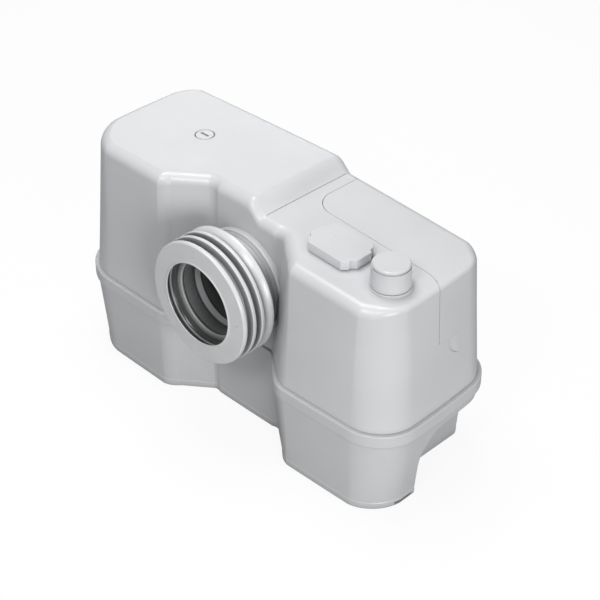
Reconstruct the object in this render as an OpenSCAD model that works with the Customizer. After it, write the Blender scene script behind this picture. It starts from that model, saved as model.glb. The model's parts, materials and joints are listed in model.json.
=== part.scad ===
// Macerator toilet pump: a floor-standing tank with a moulded housing, a front inlet sleeve,
// a grinder pump under a vertical motor, a check valve and a level switch.
// X runs along the body, the inlet faces -Y, Z is up and the floor is z = 0.

/* [Body] */
// Length of the upper wall at the rim, from the inlet axis to the left end
left_len = 215; // [208:1:222]
// Length of the upper wall at the rim, from the inlet axis to the right end
right_len = 208; // [204:1:214]
// Depth of the upper wall at the rim, front to back
body_w = 157; // [152:1:165]
// Height of the tall left top
tall_h = 245; // [238:1:256]
// Height of the low top beside the step
low_h = 231.5; // [228:0.5:234]
// Fall of the low top towards the right end, in degrees
low_slope = 3.3; // [2:0.1:3.8]
// Wall thickness of housing and tank
wall = 3; // [2.4:0.1:3.4]
// Radius of the rounded top edge
top_fillet = 11; // [8:0.5:13]
// Radius of the top edge at the right end
end_fillet = 5; // [4.5:0.5:8]
// Extra length of the left end at the back
left_skew = 4; // [0:0.5:8]
// Lost length of the right end at the back
right_skew = 6; // [0:0.5:8]
// Outward bow of the four sides
crown = 3; // [1:0.1:4]
// Plan radius of the front left corner
front_left_r = 50; // [44:1:54]
// Plan radius of the front right corner
front_right_r = 38; // [34:1:42]
// Plan radius of the back left corner
back_left_r = 30; // [27:1:36]
// Plan radius of the back right corner
back_right_r = 36; // [30:1:40]
// Draft of the front and the inlet wall, in degrees
front_draft = 2.6; // [1.5:0.1:3]
// Draft of the end walls, in degrees
end_draft = 4.5; // [2:0.1:4.8]
// Draft of the back wall, in degrees
back_draft = 0.8; // [0.4:0.1:1.6]

/* [Step between the two tops] */
// Where the tall top starts to fall
step_x = 2; // [-6:1:5]
// Length of the S-shaped ramp
step_run = 19; // [15:1:21]
// Width of the fine line across the low top
line_w = 0.8; // [0.6:0.1:1.2]
// Depth of the fine line
line_d = 0.7; // [0.4:0.1:1]

/* [Front notch] */
// Width of the notch at its back wall
notch_w_in = 84; // [82:1:88]
// Width of the notch at the front face
notch_w_out = 160; // [154:1:164]
// Depth of the notch
notch_d = 31; // [28:1:33]
// Rounding of the outer notch edges
notch_r_out = 26; // [23:1:28]
// Rounding of the inner notch edges
notch_r_in = 12; // [9:1:13]

/* [Tank] */
// Height of the tank rim
rim_z = 95; // [93:1:97]
// Height of the rim band
rim_h = 13; // [10:1:15]
// How far the band stands out from the housing wall
rim_proud = 4; // [3.4:0.1:5]
// How far the tank wall stands out just below the rim
tank_proud = 2; // [1:0.1:2.4]
// Draft of the tank's front, in degrees
tank_front_draft = 1.7; // [1:0.1:3]
// Draft of the tank's back, in degrees
tank_back_draft = 6.5; // [3:0.1:7]
// Draft of the tank's ends, in degrees
tank_end_draft = 5.5; // [4:0.1:6.5]
// Height of the base step above the floor
base_step_h = 8; // [6:0.5:10]
// Offset of the base step
base_step_d = 0.6; // [0.3:0.1:1]
// Thickness of the tank floor
floor_t = 3.5; // [3:0.1:4]
// Distance from the right end to the wall of the rear recess
recess_d = 36; // [32:1:38]
// Height of the rear recess
recess_h = 71; // [66:1:72]
// Distance from the front wall to the side of the rear recess
recess_side = 54.5; // [53:0.5:58]
// Radius of the arched corner of the rear recess
recess_r = 35; // [28:1:40]
// Length of the fixing slot in the foot
fix_slot_l = 22; // [18:1:24]
// Height of the fixing slot
fix_slot_h = 3; // [2.5:0.1:3.5]
// Depth of the fixing slot past the wall
fix_slot_d = 9; // [8:0.5:10]

/* [Inlet] */
// Height of the inlet axis
inlet_z = 158; // [155:1:160]
// Outer diameter of the sleeve's front flange
sleeve_od = 124; // [122:1:128]
// Bore of the sleeve's lip
sleeve_bore = 81; // [80:0.5:83]
// Length of the sleeve
sleeve_l = 53; // [52:1:57]
// Outer diameter of the inlet pipe
inlet_pipe_d = 82; // [80:1:83]
// Wall of the inlet pipe
inlet_pipe_wall = 3.5; // [3:0.1:4]
// Bend radius of the elbow
elbow_r = 52; // [50:1:54]
// Diameter of the elbow's outer collar
collar_d = 101; // [98:1:103]
// Thickness of the elbow's outer collar
collar_t = 4; // [3:0.1:5]

/* [Service cover] */
// Distance of its left edge from the step's foot
cover_gap_x = 11; // [8:1:14]
// Distance of its front edge from the back wall
cover_depth = 68; // [66:1:71]
// How much further forward its front edge is on the end face
cover_dip = 14; // [8:1:16]
// Plan radius of its front left corner
cover_r = 24; // [18:1:28]
// Height of its lower edge
cover_z = 163; // [158:1:168]
// Width of the finger recess below it
finger_w = 34; // [30:1:38]

/* [Caps] */
// Length of the filter cap
filter_cap_l = 58; // [55:1:61]
// Width of the filter cap
filter_cap_w = 42; // [40:1:44]
// Height of the filter cap
filter_cap_h = 10; // [8:0.5:11]
// Distance of the filter cap's centre from the right end
filter_cap_inset = 104.5; // [103:0.5:107]
// Distance of the filter cap's centre from the front wall
filter_cap_inset_y = 53; // [51:1:55]
// Diameter of the round outlet cap
outlet_cap_d = 37; // [36:0.5:40]
// Height of the round outlet cap
outlet_cap_h = 23; // [20:1:25]
// Distance of the outlet from the right end
outlet_inset_x = 41; // [40:0.5:43]
// Distance of the outlet from the front wall
outlet_inset_y = 49.5; // [48:0.5:52]
// Diameter of the slotted cover screw
screw_d = 19; // [17:0.5:20]
// Distance of the cover screw from the left end
screw_inset_x = 100; // [96:1:104]
// Distance of the cover screw from the front wall
screw_inset_y = 89; // [86:1:91]

/* [Motor] */
// Distance of the motor axis from the right end
motor_inset_x = 90; // [88:1:93]
// Distance of the motor axis from the back wall
motor_inset_y = 52; // [51:1:53]
// Outer diameter of the motor shell
motor_d = 84; // [80:1:85]
// Height of the motor shell
motor_h = 78; // [70:1:82]
// Diameter of the rotor core
rotor_d = 51; // [46:1:53]
// Air gap between rotor and stator
air_gap = 0.5; // [0.4:0.1:0.8]
// Diameter of the motor shaft
shaft_d = 12; // [10:0.5:13]
// Radial running clearance of the shaft
shaft_fit = 0.05; // [0.03:0.01:0.08]

/* [Pump] */
// Outer diameter of the volute
volute_d = 74; // [70:1:76]
// Inner height of the volute chamber
volute_h = 24; // [22:1:25]
// Diameter of the impeller
impeller_d = 56; // [50:1:58]
// Number of impeller vanes
vane_count = 6; // [5:1:7]
// Outer diameter of the cutter ring
cutter_d = 48; // [44:1:50]
// Height of the cutter ring
cutter_h = 14; // [12:1:15]
// Number of slots in the cutter ring
cutter_slots = 10; // [8:1:12]
// Outer diameter of the riser from the pump to the check valve
riser_d = 21; // [19:0.5:21.5]
// Distance of the riser from the outlet axis
riser_shift = 11; // [10:0.5:11.5]
// Outer diameter of the outlet stub
pipe_d = 30; // [28:1:31]
// Wall of the riser and the stub
pipe_wall = 2.2; // [2:0.1:2.6]
// Outer diameter of the check-valve body
valve_d = 52; // [51:1:54]
// Height of the check-valve body
valve_h = 60; // [58:1:66]

/* [Level switch and electrics] */
// Distance of the dip tube from the left end
dip_inset_x = 126; // [122:1:130]
// Distance of the dip tube from the back wall
dip_inset_y = 34; // [32:1:38]
// Outer diameter of the dip tube
dip_d = 28; // [26:1:30]
// Gap between the dip tube and the tank floor
dip_gap = 12; // [10:1:14]
// Outer diameter of the level switch
switch_d = 46; // [44:1:48]
// Height of the level switch
switch_h = 20; // [18:1:22]
// Travel of the switch plunger
plunger_travel = 2; // [1.5:0.1:2.5]
// Diameter of the capacitor
capacitor_d = 40; // [36:1:42]
// Height of the capacitor
capacitor_h = 72; // [60:1:80]
// Distance of the capacitor from the left end
capacitor_inset_x = 46; // [42:1:50]
// Distance of the capacitor from the back wall
capacitor_inset_y = 46; // [42:1:48]
// Length of the control board
board_l = 76; // [70:1:78]
// Width of the control board
board_w = 42; // [38:1:44]
// Distance of the board's centre from the left end
board_inset_x = 60; // [58:1:64]
// Distance of the board's centre from the front wall
board_inset_y = 38; // [36:1:40]
// Distance of the cable grommet from the left end
grommet_inset = 80; // [76:1:86]
// Height of the cable grommet above the deck
grommet_lift = 26; // [22:1:30]
// Bore of the cable grommet
cable_d = 8; // [7:0.5:9]

/* [Fits] */
// Clearance around lift-off pieces
lift_gap = 0.4; // [0.3:0.1:0.5]
// Clearance between fixed pieces
seat_gap = 0.3; // [0.2:0.05:0.4]
// Least gap between the motor and the check valve
motor_gap = 0.5; // [0.4:0.1:0.6]

/* [Hidden] */
$fn = 64;

// Overlap that lets a cut pass cleanly through a face
eps = 1;

// Plan limits of the upper wall at the rim
left_x = -left_len;
right_x = right_len;
body_l = right_x - left_x;
mid_x = (left_x + right_x) / 2;
front_y = -body_w / 2;
back_y = body_w / 2;
notch_y = front_y + notch_d;

// Step between the tops
step_end = step_x + step_run;
line_inset = 2;
line_x = step_end - line_inset;

// Deck that closes the tank: it lies on a ledge inside the rim
ledge_drop = 9;
ledge_w = 4.5;
ledge_h = 6;
deck_t = 4;
deck_z = rim_z - ledge_drop;
deck_top = deck_z + deck_t;

// Places of the pieces, taken from the walls that they stand near
outlet_x = right_x - outlet_inset_x;
outlet_y = front_y + outlet_inset_y;
riser_x = outlet_x - riser_shift;
motor_y = back_y - motor_inset_y;
motor_reach = (motor_d + valve_d) / 2 + motor_gap;
valve_side = sqrt(max(0, pow(motor_reach, 2) - pow(motor_y - outlet_y, 2)));
motor_x = min(right_x - motor_inset_x, outlet_x - valve_side);
screw_x = left_x + screw_inset_x;
screw_y = front_y + screw_inset_y;
filter_x = right_x - filter_cap_inset;
filter_y = front_y + filter_cap_inset_y;
cover_x = step_end + cover_gap_x;
cover_y = back_y - cover_depth;
recess_x = right_x - recess_d;
recess_y = front_y + recess_side;
capacitor_x = left_x + capacitor_inset_x;
capacitor_y = back_y - capacitor_inset_y;
dip_x = left_x + dip_inset_x;
dip_y = back_y - dip_inset_y;
board_x = left_x + board_inset_x;
board_y = front_y + board_inset_y;
grommet_x = left_x + grommet_inset;
grommet_z = deck_top + grommet_lift;

// Small geometry helpers
function unit(v) = v / norm(v);
function outward(d) = [d[1], -d[0]];
function smooth(t) = let (c = max(0, min(1, t))) c * c * (3 - 2 * c);
function mix(a, b, t) = a + (b - a) * t;

// Rounded corner at b on the way from a to c: points with their outward normals
function corner(a, b, c, r, n) =
    let (d1 = unit(b - a), d2 = unit(c - b), m1 = outward(d1))
    let (turn = atan2(d1[0] * d2[1] - d1[1] * d2[0], d1 * d2))
    let (start = b - d1 * r * tan(abs(turn) / 2), centre = start - sign(turn) * r * m1)
    let (first = atan2(m1[1], m1[0]))
    [for (i = [0 : n]) let (w = first + turn * i / n, m = [cos(w), sin(w)])
        concat(centre + sign(turn) * r * m, m)];

// Points strictly between two outline points
function between(p, q, n) = [for (i = [1 : n]) mix(p, q, i / (n + 1))];

// Plan outline of the upper wall at the rim, as two chains from the left end to the right end.
// Both have the same number of points, so that a top can be laid across them in strips.
left_mid = [left_x - left_skew / 2, 0];
right_mid = [right_x - right_skew / 2, 0];
front_left = [left_x, front_y];
front_right = [right_x, front_y];
back_left = [left_x - left_skew, back_y];
back_right = [right_x - right_skew, back_y];
notch_1 = [-notch_w_out / 2, front_y];
notch_2 = [-notch_w_in / 2, notch_y];
notch_3 = [notch_w_in / 2, notch_y];
notch_4 = [notch_w_out / 2, front_y];

end_steps = 2;
arc_steps = 6;
notch_steps = 4;
arc_front_left = corner(left_mid, front_left, notch_1, front_left_r, arc_steps);
arc_front_right = corner(notch_4, front_right, right_mid, front_right_r, arc_steps);
arc_back_left = corner(back_right, back_left, left_mid, back_left_r, arc_steps);
arc_back_right = corner(right_mid, back_right, back_left, back_right_r, arc_steps);
arc_notch_1 = corner(front_left, notch_1, notch_2, notch_r_out, notch_steps);
arc_notch_2 = corner(notch_1, notch_2, notch_3, notch_r_in, notch_steps);
arc_notch_3 = corner(notch_2, notch_3, notch_4, notch_r_in, notch_steps);
arc_notch_4 = corner(notch_3, notch_4, front_right, notch_r_out, notch_steps);

// Stations on the notch wall, close together across the step
station_count = 9;
stations = [for (i = [0 : station_count])
    [mix(step_x, step_end, i / station_count), notch_y, 0, -1]];

function last(v) = v[len(v) - 1];
left_normal = outward(unit(front_left - left_mid));
right_normal = outward(unit(right_mid - front_right));
left_end = concat(left_mid, left_normal);
right_end = concat(right_mid, right_normal);

front_middle = concat(
    between(last(arc_front_left), arc_notch_1[0], 3),
    arc_notch_1,
    arc_notch_2,
    between(last(arc_notch_2), stations[0], 2),
    stations,
    between(last(stations), arc_notch_3[0], 1),
    arc_notch_3,
    arc_notch_4,
    between(last(arc_notch_4), arc_front_right[0], 3));

front_chain = concat(
    [left_end],
    between(left_end, arc_front_left[0], end_steps),
    arc_front_left,
    front_middle,
    arc_front_right,
    between(last(arc_front_right), right_end, end_steps),
    [right_end]);

// The back chain is walked from right to left, so that the whole outline runs one way round
back_chain = concat(
    between(right_end, arc_back_right[0], end_steps),
    arc_back_right,
    [for (i = [len(front_middle) - 1 : -1 : 0]) [front_middle[i][0], back_y, 0, 1]],
    arc_back_left,
    between(last(arc_back_left), left_end, end_steps));

// Bow of the sides: largest in the middle of each side, nothing at the corners
function bow_x(x) = crown * (1 - pow((x - mid_x) / (body_l / 2), 2));
function bow_y(y) = crown * (1 - pow(y / back_y, 2));
function bow(p) = abs(p[3]) * bow_x(p[0]) + abs(p[2]) * bow_y(p[1]);
outline = [for (p = concat(front_chain, back_chain))
    [p[0] + p[2] * bow(p), p[1] + p[3] * bow(p), p[2], p[3]]];
chain_n = len(front_chain);
ring_n = len(outline);

// A point of the outline moved inwards
function inset(p, d) = [p[0] - p[2] * d, p[1] - p[3] * d];
function plan(d) = [for (p = outline) inset(p, d)];

// Height of the top above a place along the body
function low_top(x) = low_h - tan(low_slope) * (x - step_end);
function top_at(x) = x > step_end ? low_top(x) : mix(tall_h, low_h, smooth((x - step_x) / step_run));

// Inward lean of the upper wall at a height above the rim
function lean(p, h) =
    h * (abs(p[3]) * tan(p[3] < 0 ? front_draft : back_draft) + abs(p[2]) * tan(end_draft));

// Radius of the top edge, which narrows round the corners towards the right end
fillet_turn = 0.4;
function fillet_at(p) =
    let (turn = p[0] > step_end ? p[2] : 0)
    mix(top_fillet, end_fillet, smooth((turn - fillet_turn) / (1 - fillet_turn)));

// One ring of the upper housing on the rounded top edge, at the angle a, for a skin of depth t
function edge_ring(a, t) = [for (p = outline)
    let (fillet = fillet_at(p), r = fillet - t, z = top_at(p[0]) - fillet)
    let (q = inset(p, lean(p, z - rim_z) + t + r * (1 - cos(a))))
    [q[0], q[1], top_at(q[0]) - fillet + r * sin(a)]];

// One ring of the upper housing at a fixed height
function wall_ring(z, d) = [for (p = outline)
    let (q = inset(p, lean(p, z - rim_z) + d))
    [q[0], q[1], z]];

// Solid through a list of rings, closed at both ends by strips between the two chains
module loft(rings) {
    n = len(rings);
    points = [for (r = rings) each r];
    walls = [for (j = [0 : n - 2], i = [0 : ring_n - 1])
        let (k = (i + 1) % ring_n, a = j * ring_n, b = a + ring_n)
        each [[a + i, b + i, b + k], [a + i, b + k, a + k]]];
    strips = [for (i = [0 : chain_n - 2])
        let (k = i + 1, u = (ring_n - i) % ring_n, v = ring_n - k)
        each concat(i > 0 ? [[i, k, u]] : [], i < chain_n - 2 ? [[k, v, u]] : [])];
    far = (n - 1) * ring_n;
    far_strips = [for (s = strips) [s[2] + far, s[1] + far, s[0] + far]];
    polyhedron(points, concat(walls, strips, far_strips), convexity = 10);
}

// Upper moulding as one thin shell: inside from the top down, then outside from the rim up
edge_steps = 5;
lip_d = 1.6;
lip_h = 2.4;
module moulded_shell() {
    inner_top = [for (i = [edge_steps - 1 : -1 : 0]) edge_ring(90 * i / (edge_steps - 1), wall)];
    outer_top = [for (i = [0 : edge_steps]) edge_ring(90 * i / edge_steps, 0)];
    loft(concat(
        inner_top,
        [wall_ring(rim_z, wall), wall_ring(rim_z, -lip_d), wall_ring(rim_z + lip_h, -lip_d)],
        [wall_ring(rim_z + lip_h + lip_d / 2, 0)],
        outer_top));
}

// Plan region of the service cover, shrunk by the clearance g: its front edge falls away near the end
cover_steps = 6;
dip_start = 24;
dip_end = 4;
dip_lead = 2;
dip_bulge = 1.5;
dip_bulge_at = 0.35;
function cover_plan(g) =
    let (far = body_l, a = [cover_x + g, far], b = [cover_x + g, cover_y + g])
    let (c = [right_x - dip_start, cover_y + g - dip_lead])
    let (d = [right_x - dip_end, cover_y - cover_dip + g])
    let (bulge = mix(c, d, dip_bulge_at) - [0, dip_bulge])
    let (turn = [for (p = corner(a, b, c, cover_r, cover_steps)) [p[0], p[1]]])
    concat([a], turn, [c, bulge, d, [far, d[1]], [far, far]]);

module cover_region(g) {
    translate([0, 0, cover_z + g])
        linear_extrude(tall_h)
            polygon(cover_plan(g));
}

// Local frame of the sloping low top at a place
module on_low_top(x, y) {
    translate([x, y, low_top(x)])
        rotate([0, low_slope, 0])
            children();
}

// Filter well below the filter cap
well_inset_l = 8;
well_inset_w = 7;
well_l = filter_cap_l - 2 * well_inset_l;
well_w = filter_cap_w - 2 * well_inset_w;
well_d = 16;
well_wall = 2;
curb_h = 3;
vent_d = 6;

// Seat of the outlet cap on the low top, level although the top slopes
seat_edge = 1;
seat_rise = 0.6;
outlet_seat_h = 12;
cap_crown_t = 5;
seat_d = outlet_cap_d + 2 * seat_edge;
seat_z = low_top(outlet_x - seat_d / 2) + seat_rise;
stub_top = seat_z + outlet_cap_h - cap_crown_t;

// Flat inlet seat on the sloping notch wall, with room for the elbow's collar cut into the notch
inlet_seat_rise = 0.4;
inlet_seat_edge = 2;
seat_face_y = notch_y - crown - inlet_seat_rise;
seat_depth = 11;
seat_back_y = seat_face_y + seat_depth;
sleeve_front_y = seat_face_y - collar_t - sleeve_l;
inlet_hole_d = inlet_pipe_d + 2 * seat_gap;

// Screw pocket on the tall top
head_t = 3.6;
boss_h = 14;
boss_wall = 4;
screw_seat_z = tall_h - head_t;
boss_z = tall_h - boss_h;
shank_d = 8;

module along_y(x, y, z) {
    translate([x, y, z])
        rotate([-90, 0, 0])
            children();
}

module upper_housing() {
    color("gainsboro")
    difference() {
        union() {
            difference() {
                moulded_shell();
                cover_region(0);
            }
            along_y(0, seat_face_y, inlet_z)
                cylinder(d = collar_d + 2 * inlet_seat_edge, h = seat_depth);
            translate([screw_x, screw_y, boss_z])
                cylinder(d = screw_d + 2 * boss_wall, h = boss_h - wall / 2);
            translate([outlet_x, outlet_y, seat_z - outlet_seat_h])
                cylinder(d = seat_d, h = outlet_seat_h);
            on_low_top(filter_x, filter_y)
                translate([-well_l / 2 - well_wall, -well_w / 2 - well_wall, -well_d - well_wall])
                    cube([well_l + 2 * well_wall, well_w + 2 * well_wall, well_d + well_wall + curb_h]);
        }
        along_y(0, seat_face_y - eps, inlet_z)
            cylinder(d = inlet_hole_d, h = seat_depth + 2 * eps);
        along_y(0, seat_face_y - notch_d, inlet_z)
            cylinder(d = collar_d + 2 * seat_gap, h = notch_d);
        translate([screw_x, screw_y, screw_seat_z])
            cylinder(d = screw_d + 2 * lift_gap, h = head_t + eps);
        translate([screw_x, screw_y, boss_z - eps])
            cylinder(d = shank_d + 2 * lift_gap, h = boss_h);
        translate([outlet_x, outlet_y, seat_z - outlet_seat_h - eps])
            cylinder(d = pipe_d + 2 * seat_gap, h = outlet_seat_h + 2 * eps);
        on_low_top(filter_x, filter_y) {
            translate([-well_l / 2, -well_w / 2, -well_d])
                cube([well_l, well_w, well_d + curb_h + eps]);
            for (x = [-well_l / 4, 0, well_l / 4])
                translate([x, 0, -well_d - well_wall - eps])
                    cylinder(d = vent_d, h = well_wall + 2 * eps);
        }
        finger_recess();
        grommet_hole();
        top_line();
    }
}

// Half-round finger recess in the end wall below the cover's edge
finger_depth = 1.6;
finger_y = cover_y + finger_w / 2;
function end_wall_x(z) = right_x - right_skew / 2 + crown - tan(end_draft) * (z - rim_z);
module finger_recess() {
    translate([end_wall_x(cover_z) - finger_depth, finger_y, cover_z])
        rotate([0, 90, 0])
            cylinder(d = finger_w, h = finger_w);
}

grommet_wall = 4;
grommet_hole_d = cable_d + 2 * grommet_wall;
module grommet_hole() {
    along_y(grommet_x, back_y - 3 * wall, grommet_z)
        cylinder(d = grommet_hole_d, h = 6 * wall);
}

// Fine line across the low top at the foot of the step
module top_line() {
    translate([line_x, notch_y, low_top(line_x) - line_d])
        cube([line_w, body_w, tall_h]);
}

module service_cover() {
    color("gainsboro")
    intersection() {
        moulded_shell();
        cover_region(lift_gap);
    }
}

// Distance of the tank wall inside the upper wall at a height
function tank_wall(p, z) =
    let (drop = max(0, rim_z - rim_h - z))
    abs(p[3]) * (drop * tan(p[3] < 0 ? tank_front_draft : tank_back_draft) - tank_proud)
    + abs(p[2]) * (drop * tan(tank_end_draft) - tank_proud / 2);
function tank_ring(z, d) = [for (p = outline)
    let (q = inset(p, tank_wall(p, z) + d))
    [q[0], q[1], z]];

// The rim band and its lower edge fade into the wall inside the front notch
notch_side = (notch_w_out - notch_w_in) / 2;
function notch_fade(p) = p[1] < 0 ? smooth((abs(p[0]) - notch_w_in / 2) / notch_side) : 1;
function band(p) = mix(tank_proud, rim_proud, notch_fade(p));
function rim_ring(z, d) = [for (p = outline)
    let (q = inset(p, d - band(p)))
    [q[0], q[1], z]];
function rim_foot(z, d) = [for (p = outline)
    let (q = inset(p, d * notch_fade(p) - band(p)))
    [q[0], q[1], z]];

base_edge = 2.4;
band_edge = 1.2;
module tank_outside() {
    band_z = rim_z - rim_h;
    loft([
        tank_ring(0, base_edge),
        tank_ring(base_edge / 3, base_edge / 3),
        tank_ring(base_edge, 0),
        tank_ring(base_step_h, 0),
        tank_ring(base_step_h + base_step_d, base_step_d),
        tank_ring(band_z - band_edge, 0),
        rim_foot(band_z, band_edge),
        rim_ring(band_z + band_edge, 0),
        rim_ring(rim_z - band_edge, 0),
        rim_ring(rim_z, band_edge)]);
}

module tank_inside() {
    loft([
        tank_ring(floor_t, wall + base_edge),
        tank_ring(floor_t + base_edge, wall + base_step_d),
        tank_ring(deck_z - ledge_h - 2 * ledge_w, wall + base_step_d),
        wall_ring(deck_z - ledge_h, wall + ledge_w),
        wall_ring(deck_z, wall + ledge_w),
        wall_ring(deck_z, wall),
        wall_ring(rim_z + eps, wall)]);
}

// Arched recess at the rear of the right end, grown by the wall g for the inside
module rear_recess(g) {
    reach = body_w;
    translate([recess_x - g, 0, 0])
        rotate([90, 0, 90])
            linear_extrude(reach)
                difference() {
                    translate([recess_y - g, -eps])
                        square([reach, recess_h + g + eps]);
                    difference() {
                        translate([recess_y - g - eps, recess_h - recess_r])
                            square([recess_r + g + eps, recess_r + g + eps]);
                        translate([recess_y + recess_r, recess_h - recess_r])
                            circle(r = recess_r + g);
                    }
                }
}

pad_d = 18;
pad_t = 3;
pad_inset_left = 34;
pad_inset_right = 62;
pad_inset_front = 30;
pad_inset_back = 34;
pad_x = [left_x + pad_inset_left, right_x - pad_inset_right];
pad_y = [front_y + pad_inset_front, back_y - pad_inset_back];
pad_places = [for (x = pad_x, y = pad_y) [x, y]];

// Slot in the foot for a floor bracket
slot_edge = 4;
slot_y = recess_y - slot_edge - fix_slot_l;
slot_z = base_edge;
slot_wall_x = right_x - tan(tank_end_draft) * (rim_z - rim_h);
module fixing_slot() {
    translate([slot_wall_x - fix_slot_d, slot_y, slot_z])
        cube([3 * fix_slot_d, fix_slot_l, fix_slot_h]);
}

// Walls round the fixing slot, inside the tank
module slot_housing() {
    translate([slot_wall_x - fix_slot_d - wall, slot_y - wall, floor_t - eps])
        cube([2 * fix_slot_d, fix_slot_l + 2 * wall, slot_z + fix_slot_h + wall - floor_t + eps]);
}

module lower_tank() {
    color("lightgray")
    difference() {
        tank_outside();
        rear_recess(0);
        difference() {
            tank_inside();
            rear_recess(wall);
            slot_housing();
        }
        gasket_shape(gasket_w + 2 * gasket_side, gasket_t + eps);
        fixing_slot();
        for (p = pad_places)
            translate([p[0], p[1], 0])
                cylinder(d = pad_d + 2 * seat_gap, h = pad_t);
    }
}

// Seal in a groove of the rim
gasket_w = 1.4;
gasket_t = 2;
gasket_side = 0.1;
module gasket_shape(w, h) {
    middle = wall / 2;
    translate([0, 0, rim_z - gasket_t])
        linear_extrude(h)
            difference() {
                polygon(plan(middle - w / 2));
                polygon(plan(middle + w / 2));
            }
}

module tank_gasket() {
    color("dimgray")
    gasket_shape(gasket_w, gasket_t);
}

// Column under the cover screw
column_d = 20;
seal_w = 13;
motor_hole_d = shaft_d + 2 * seal_w;
elbow_lead = 8;
elbow_drop_y = seat_back_y + elbow_lead + elbow_r;
post_d = 8;
post_inset = 6;
board_posts = [for (x = [-1, 1], y = [-1, 1])
    [board_x + x * (board_l / 2 - post_inset), board_y + y * (board_w / 2 - post_inset)]];
board_post_h = 18;
lug_reach = 5;
lug_t = 5;
motor_screw_r = motor_d / 2 + lug_reach;
screw_turns = [20, 160, 270];
m4_d = 4;
boss_d = 10;
boss_drop = 8;
boss_floor = 2;

module deck_plate() {
    color("whitesmoke")
    difference() {
        union() {
            translate([0, 0, deck_z])
                linear_extrude(deck_t)
                    polygon(plan(wall + seat_gap));
            translate([screw_x, screw_y, deck_top - eps])
                cylinder(d = column_d, h = boss_z - deck_top + eps);
            for (p = board_posts)
                translate([p[0], p[1], deck_top - eps])
                    cylinder(d = post_d, h = board_post_h + eps);
            for (a = screw_turns)
                translate([motor_x, motor_y, deck_z - boss_drop])
                    rotate(a)
                        translate([motor_screw_r, 0, 0])
                            cylinder(d = boss_d, h = boss_drop + eps);
        }
        translate([0, elbow_drop_y, deck_z - eps])
            cylinder(d = inlet_hole_d, h = deck_t + 2 * eps);
        translate([motor_x, motor_y, deck_z - eps])
            cylinder(d = motor_hole_d, h = deck_t + 2 * eps);
        translate([riser_x, outlet_y, deck_z - eps])
            cylinder(d = riser_d + 2 * seat_gap, h = deck_t + 2 * eps);
        translate([dip_x, dip_y, deck_z - eps])
            cylinder(d = dip_d + 2 * seat_gap, h = deck_t + 2 * eps);
        translate([screw_x, screw_y, boss_z - shank_l])
            cylinder(d = shank_d + 2 * shaft_fit, h = shank_l + eps);
        for (p = board_posts)
            translate([p[0], p[1], deck_top + board_post_h - board_screw_l])
                cylinder(d = board_screw_d + 2 * shaft_fit, h = board_screw_l + eps);
        for (a = screw_turns)
            translate([motor_x, motor_y, deck_z - boss_drop + boss_floor])
                rotate(a)
                    translate([motor_screw_r, 0, 0])
                        cylinder(d = m4_d + 2 * shaft_fit, h = boss_drop + deck_t);
    }
}

// Elbow from the notch wall down through the deck
spigot_l = 22;
elbow_past = 6;
elbow_end_z = deck_z - elbow_past;
inlet_bore_d = inlet_pipe_d - 2 * inlet_pipe_wall;
bend_y = elbow_drop_y - elbow_r;
bend_z = inlet_z - elbow_r;
module elbow_bend(d) {
    translate([0, bend_y, bend_z])
        rotate([90, 0, 90])
            rotate_extrude(angle = 90)
                translate([elbow_r, 0])
                    circle(d = d);
}

module inlet_elbow() {
    color("silver")
    difference() {
        union() {
            along_y(0, seat_face_y - collar_t - spigot_l, inlet_z)
                cylinder(d = inlet_pipe_d, h = bend_y - seat_face_y + collar_t + spigot_l);
            along_y(0, seat_face_y - collar_t, inlet_z)
                cylinder(d = collar_d, h = collar_t);
            elbow_bend(inlet_pipe_d);
            translate([0, elbow_drop_y, elbow_end_z])
                cylinder(d = inlet_pipe_d, h = bend_z - elbow_end_z);
        }
        along_y(0, seat_face_y - collar_t - spigot_l - eps, inlet_z)
            cylinder(d = inlet_bore_d, h = bend_y - seat_face_y + collar_t + spigot_l + eps);
        elbow_bend(inlet_bore_d);
        translate([0, elbow_drop_y, elbow_end_z - eps])
            cylinder(d = inlet_bore_d, h = bend_z - elbow_end_z + eps);
    }
}

// Ring nut that clamps the elbow from inside
nut_t = 7;
nut_wall = 6;
nut_lugs = 8;
nut_lug_w = 6;
nut_lug_h = 3;
module inlet_nut() {
    color("silver")
    along_y(0, seat_back_y, inlet_z)
        difference() {
            union() {
                cylinder(d = inlet_pipe_d + 2 * nut_wall, h = nut_t);
                for (i = [0 : nut_lugs - 1])
                    rotate(i * 360 / nut_lugs)
                        translate([inlet_pipe_d / 2 + nut_wall - eps, -nut_lug_w / 2, 0])
                            cube([nut_lug_h + eps, nut_lug_w, nut_t]);
            }
            translate([0, 0, -eps])
                cylinder(d = inlet_pipe_d + 2 * shaft_fit, h = nut_t + 2 * eps);
        }
}

// Ribbed rubber sleeve: a profile of radius and depth behind the front face. Outside it has the front
// flange, two ribs and a round band; inside two lips for the pan spigot and a stop for the inlet pipe.
sleeve_r = sleeve_od / 2;
lip_r = sleeve_bore / 2;
grip_r = inlet_pipe_d / 2 + shaft_fit;
groove_r = sleeve_r - 8;
neck_r = collar_d / 2 - 0.5;
mouth_r = lip_r + 6;
bead_w = 4.5;
bead_h = 0.8;
face_fall = 1.2;
flange_edge = 2;
flange_back = 6.8;
rib_w = 4;
rib_edge = 1.2;
rib_u = 13.5;
rib_pitch = 9.9;
rib_1_r = sleeve_r + 0.5;
rib_2_r = sleeve_r + 1;
band_u = 30;
band_w = 8.5;
band_r = sleeve_r + 1;
band_foot_r = groove_r + 3;
band_curve = 1.6;
band_steps = 6;
neck_ring_h = 0.6;
neck_ring_w = 1.2;
neck_ring_u = [43.5, 47.5];
stop_u = sleeve_l - spigot_l - 0.5;
stop_r = grip_r - 2;
stop_w = 2.5;
inner_lip_r = lip_r + 3.3;
inner_lip_w = 2;
inner_lip_u = [18.2, 7.8];
lip_back = 4;

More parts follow.
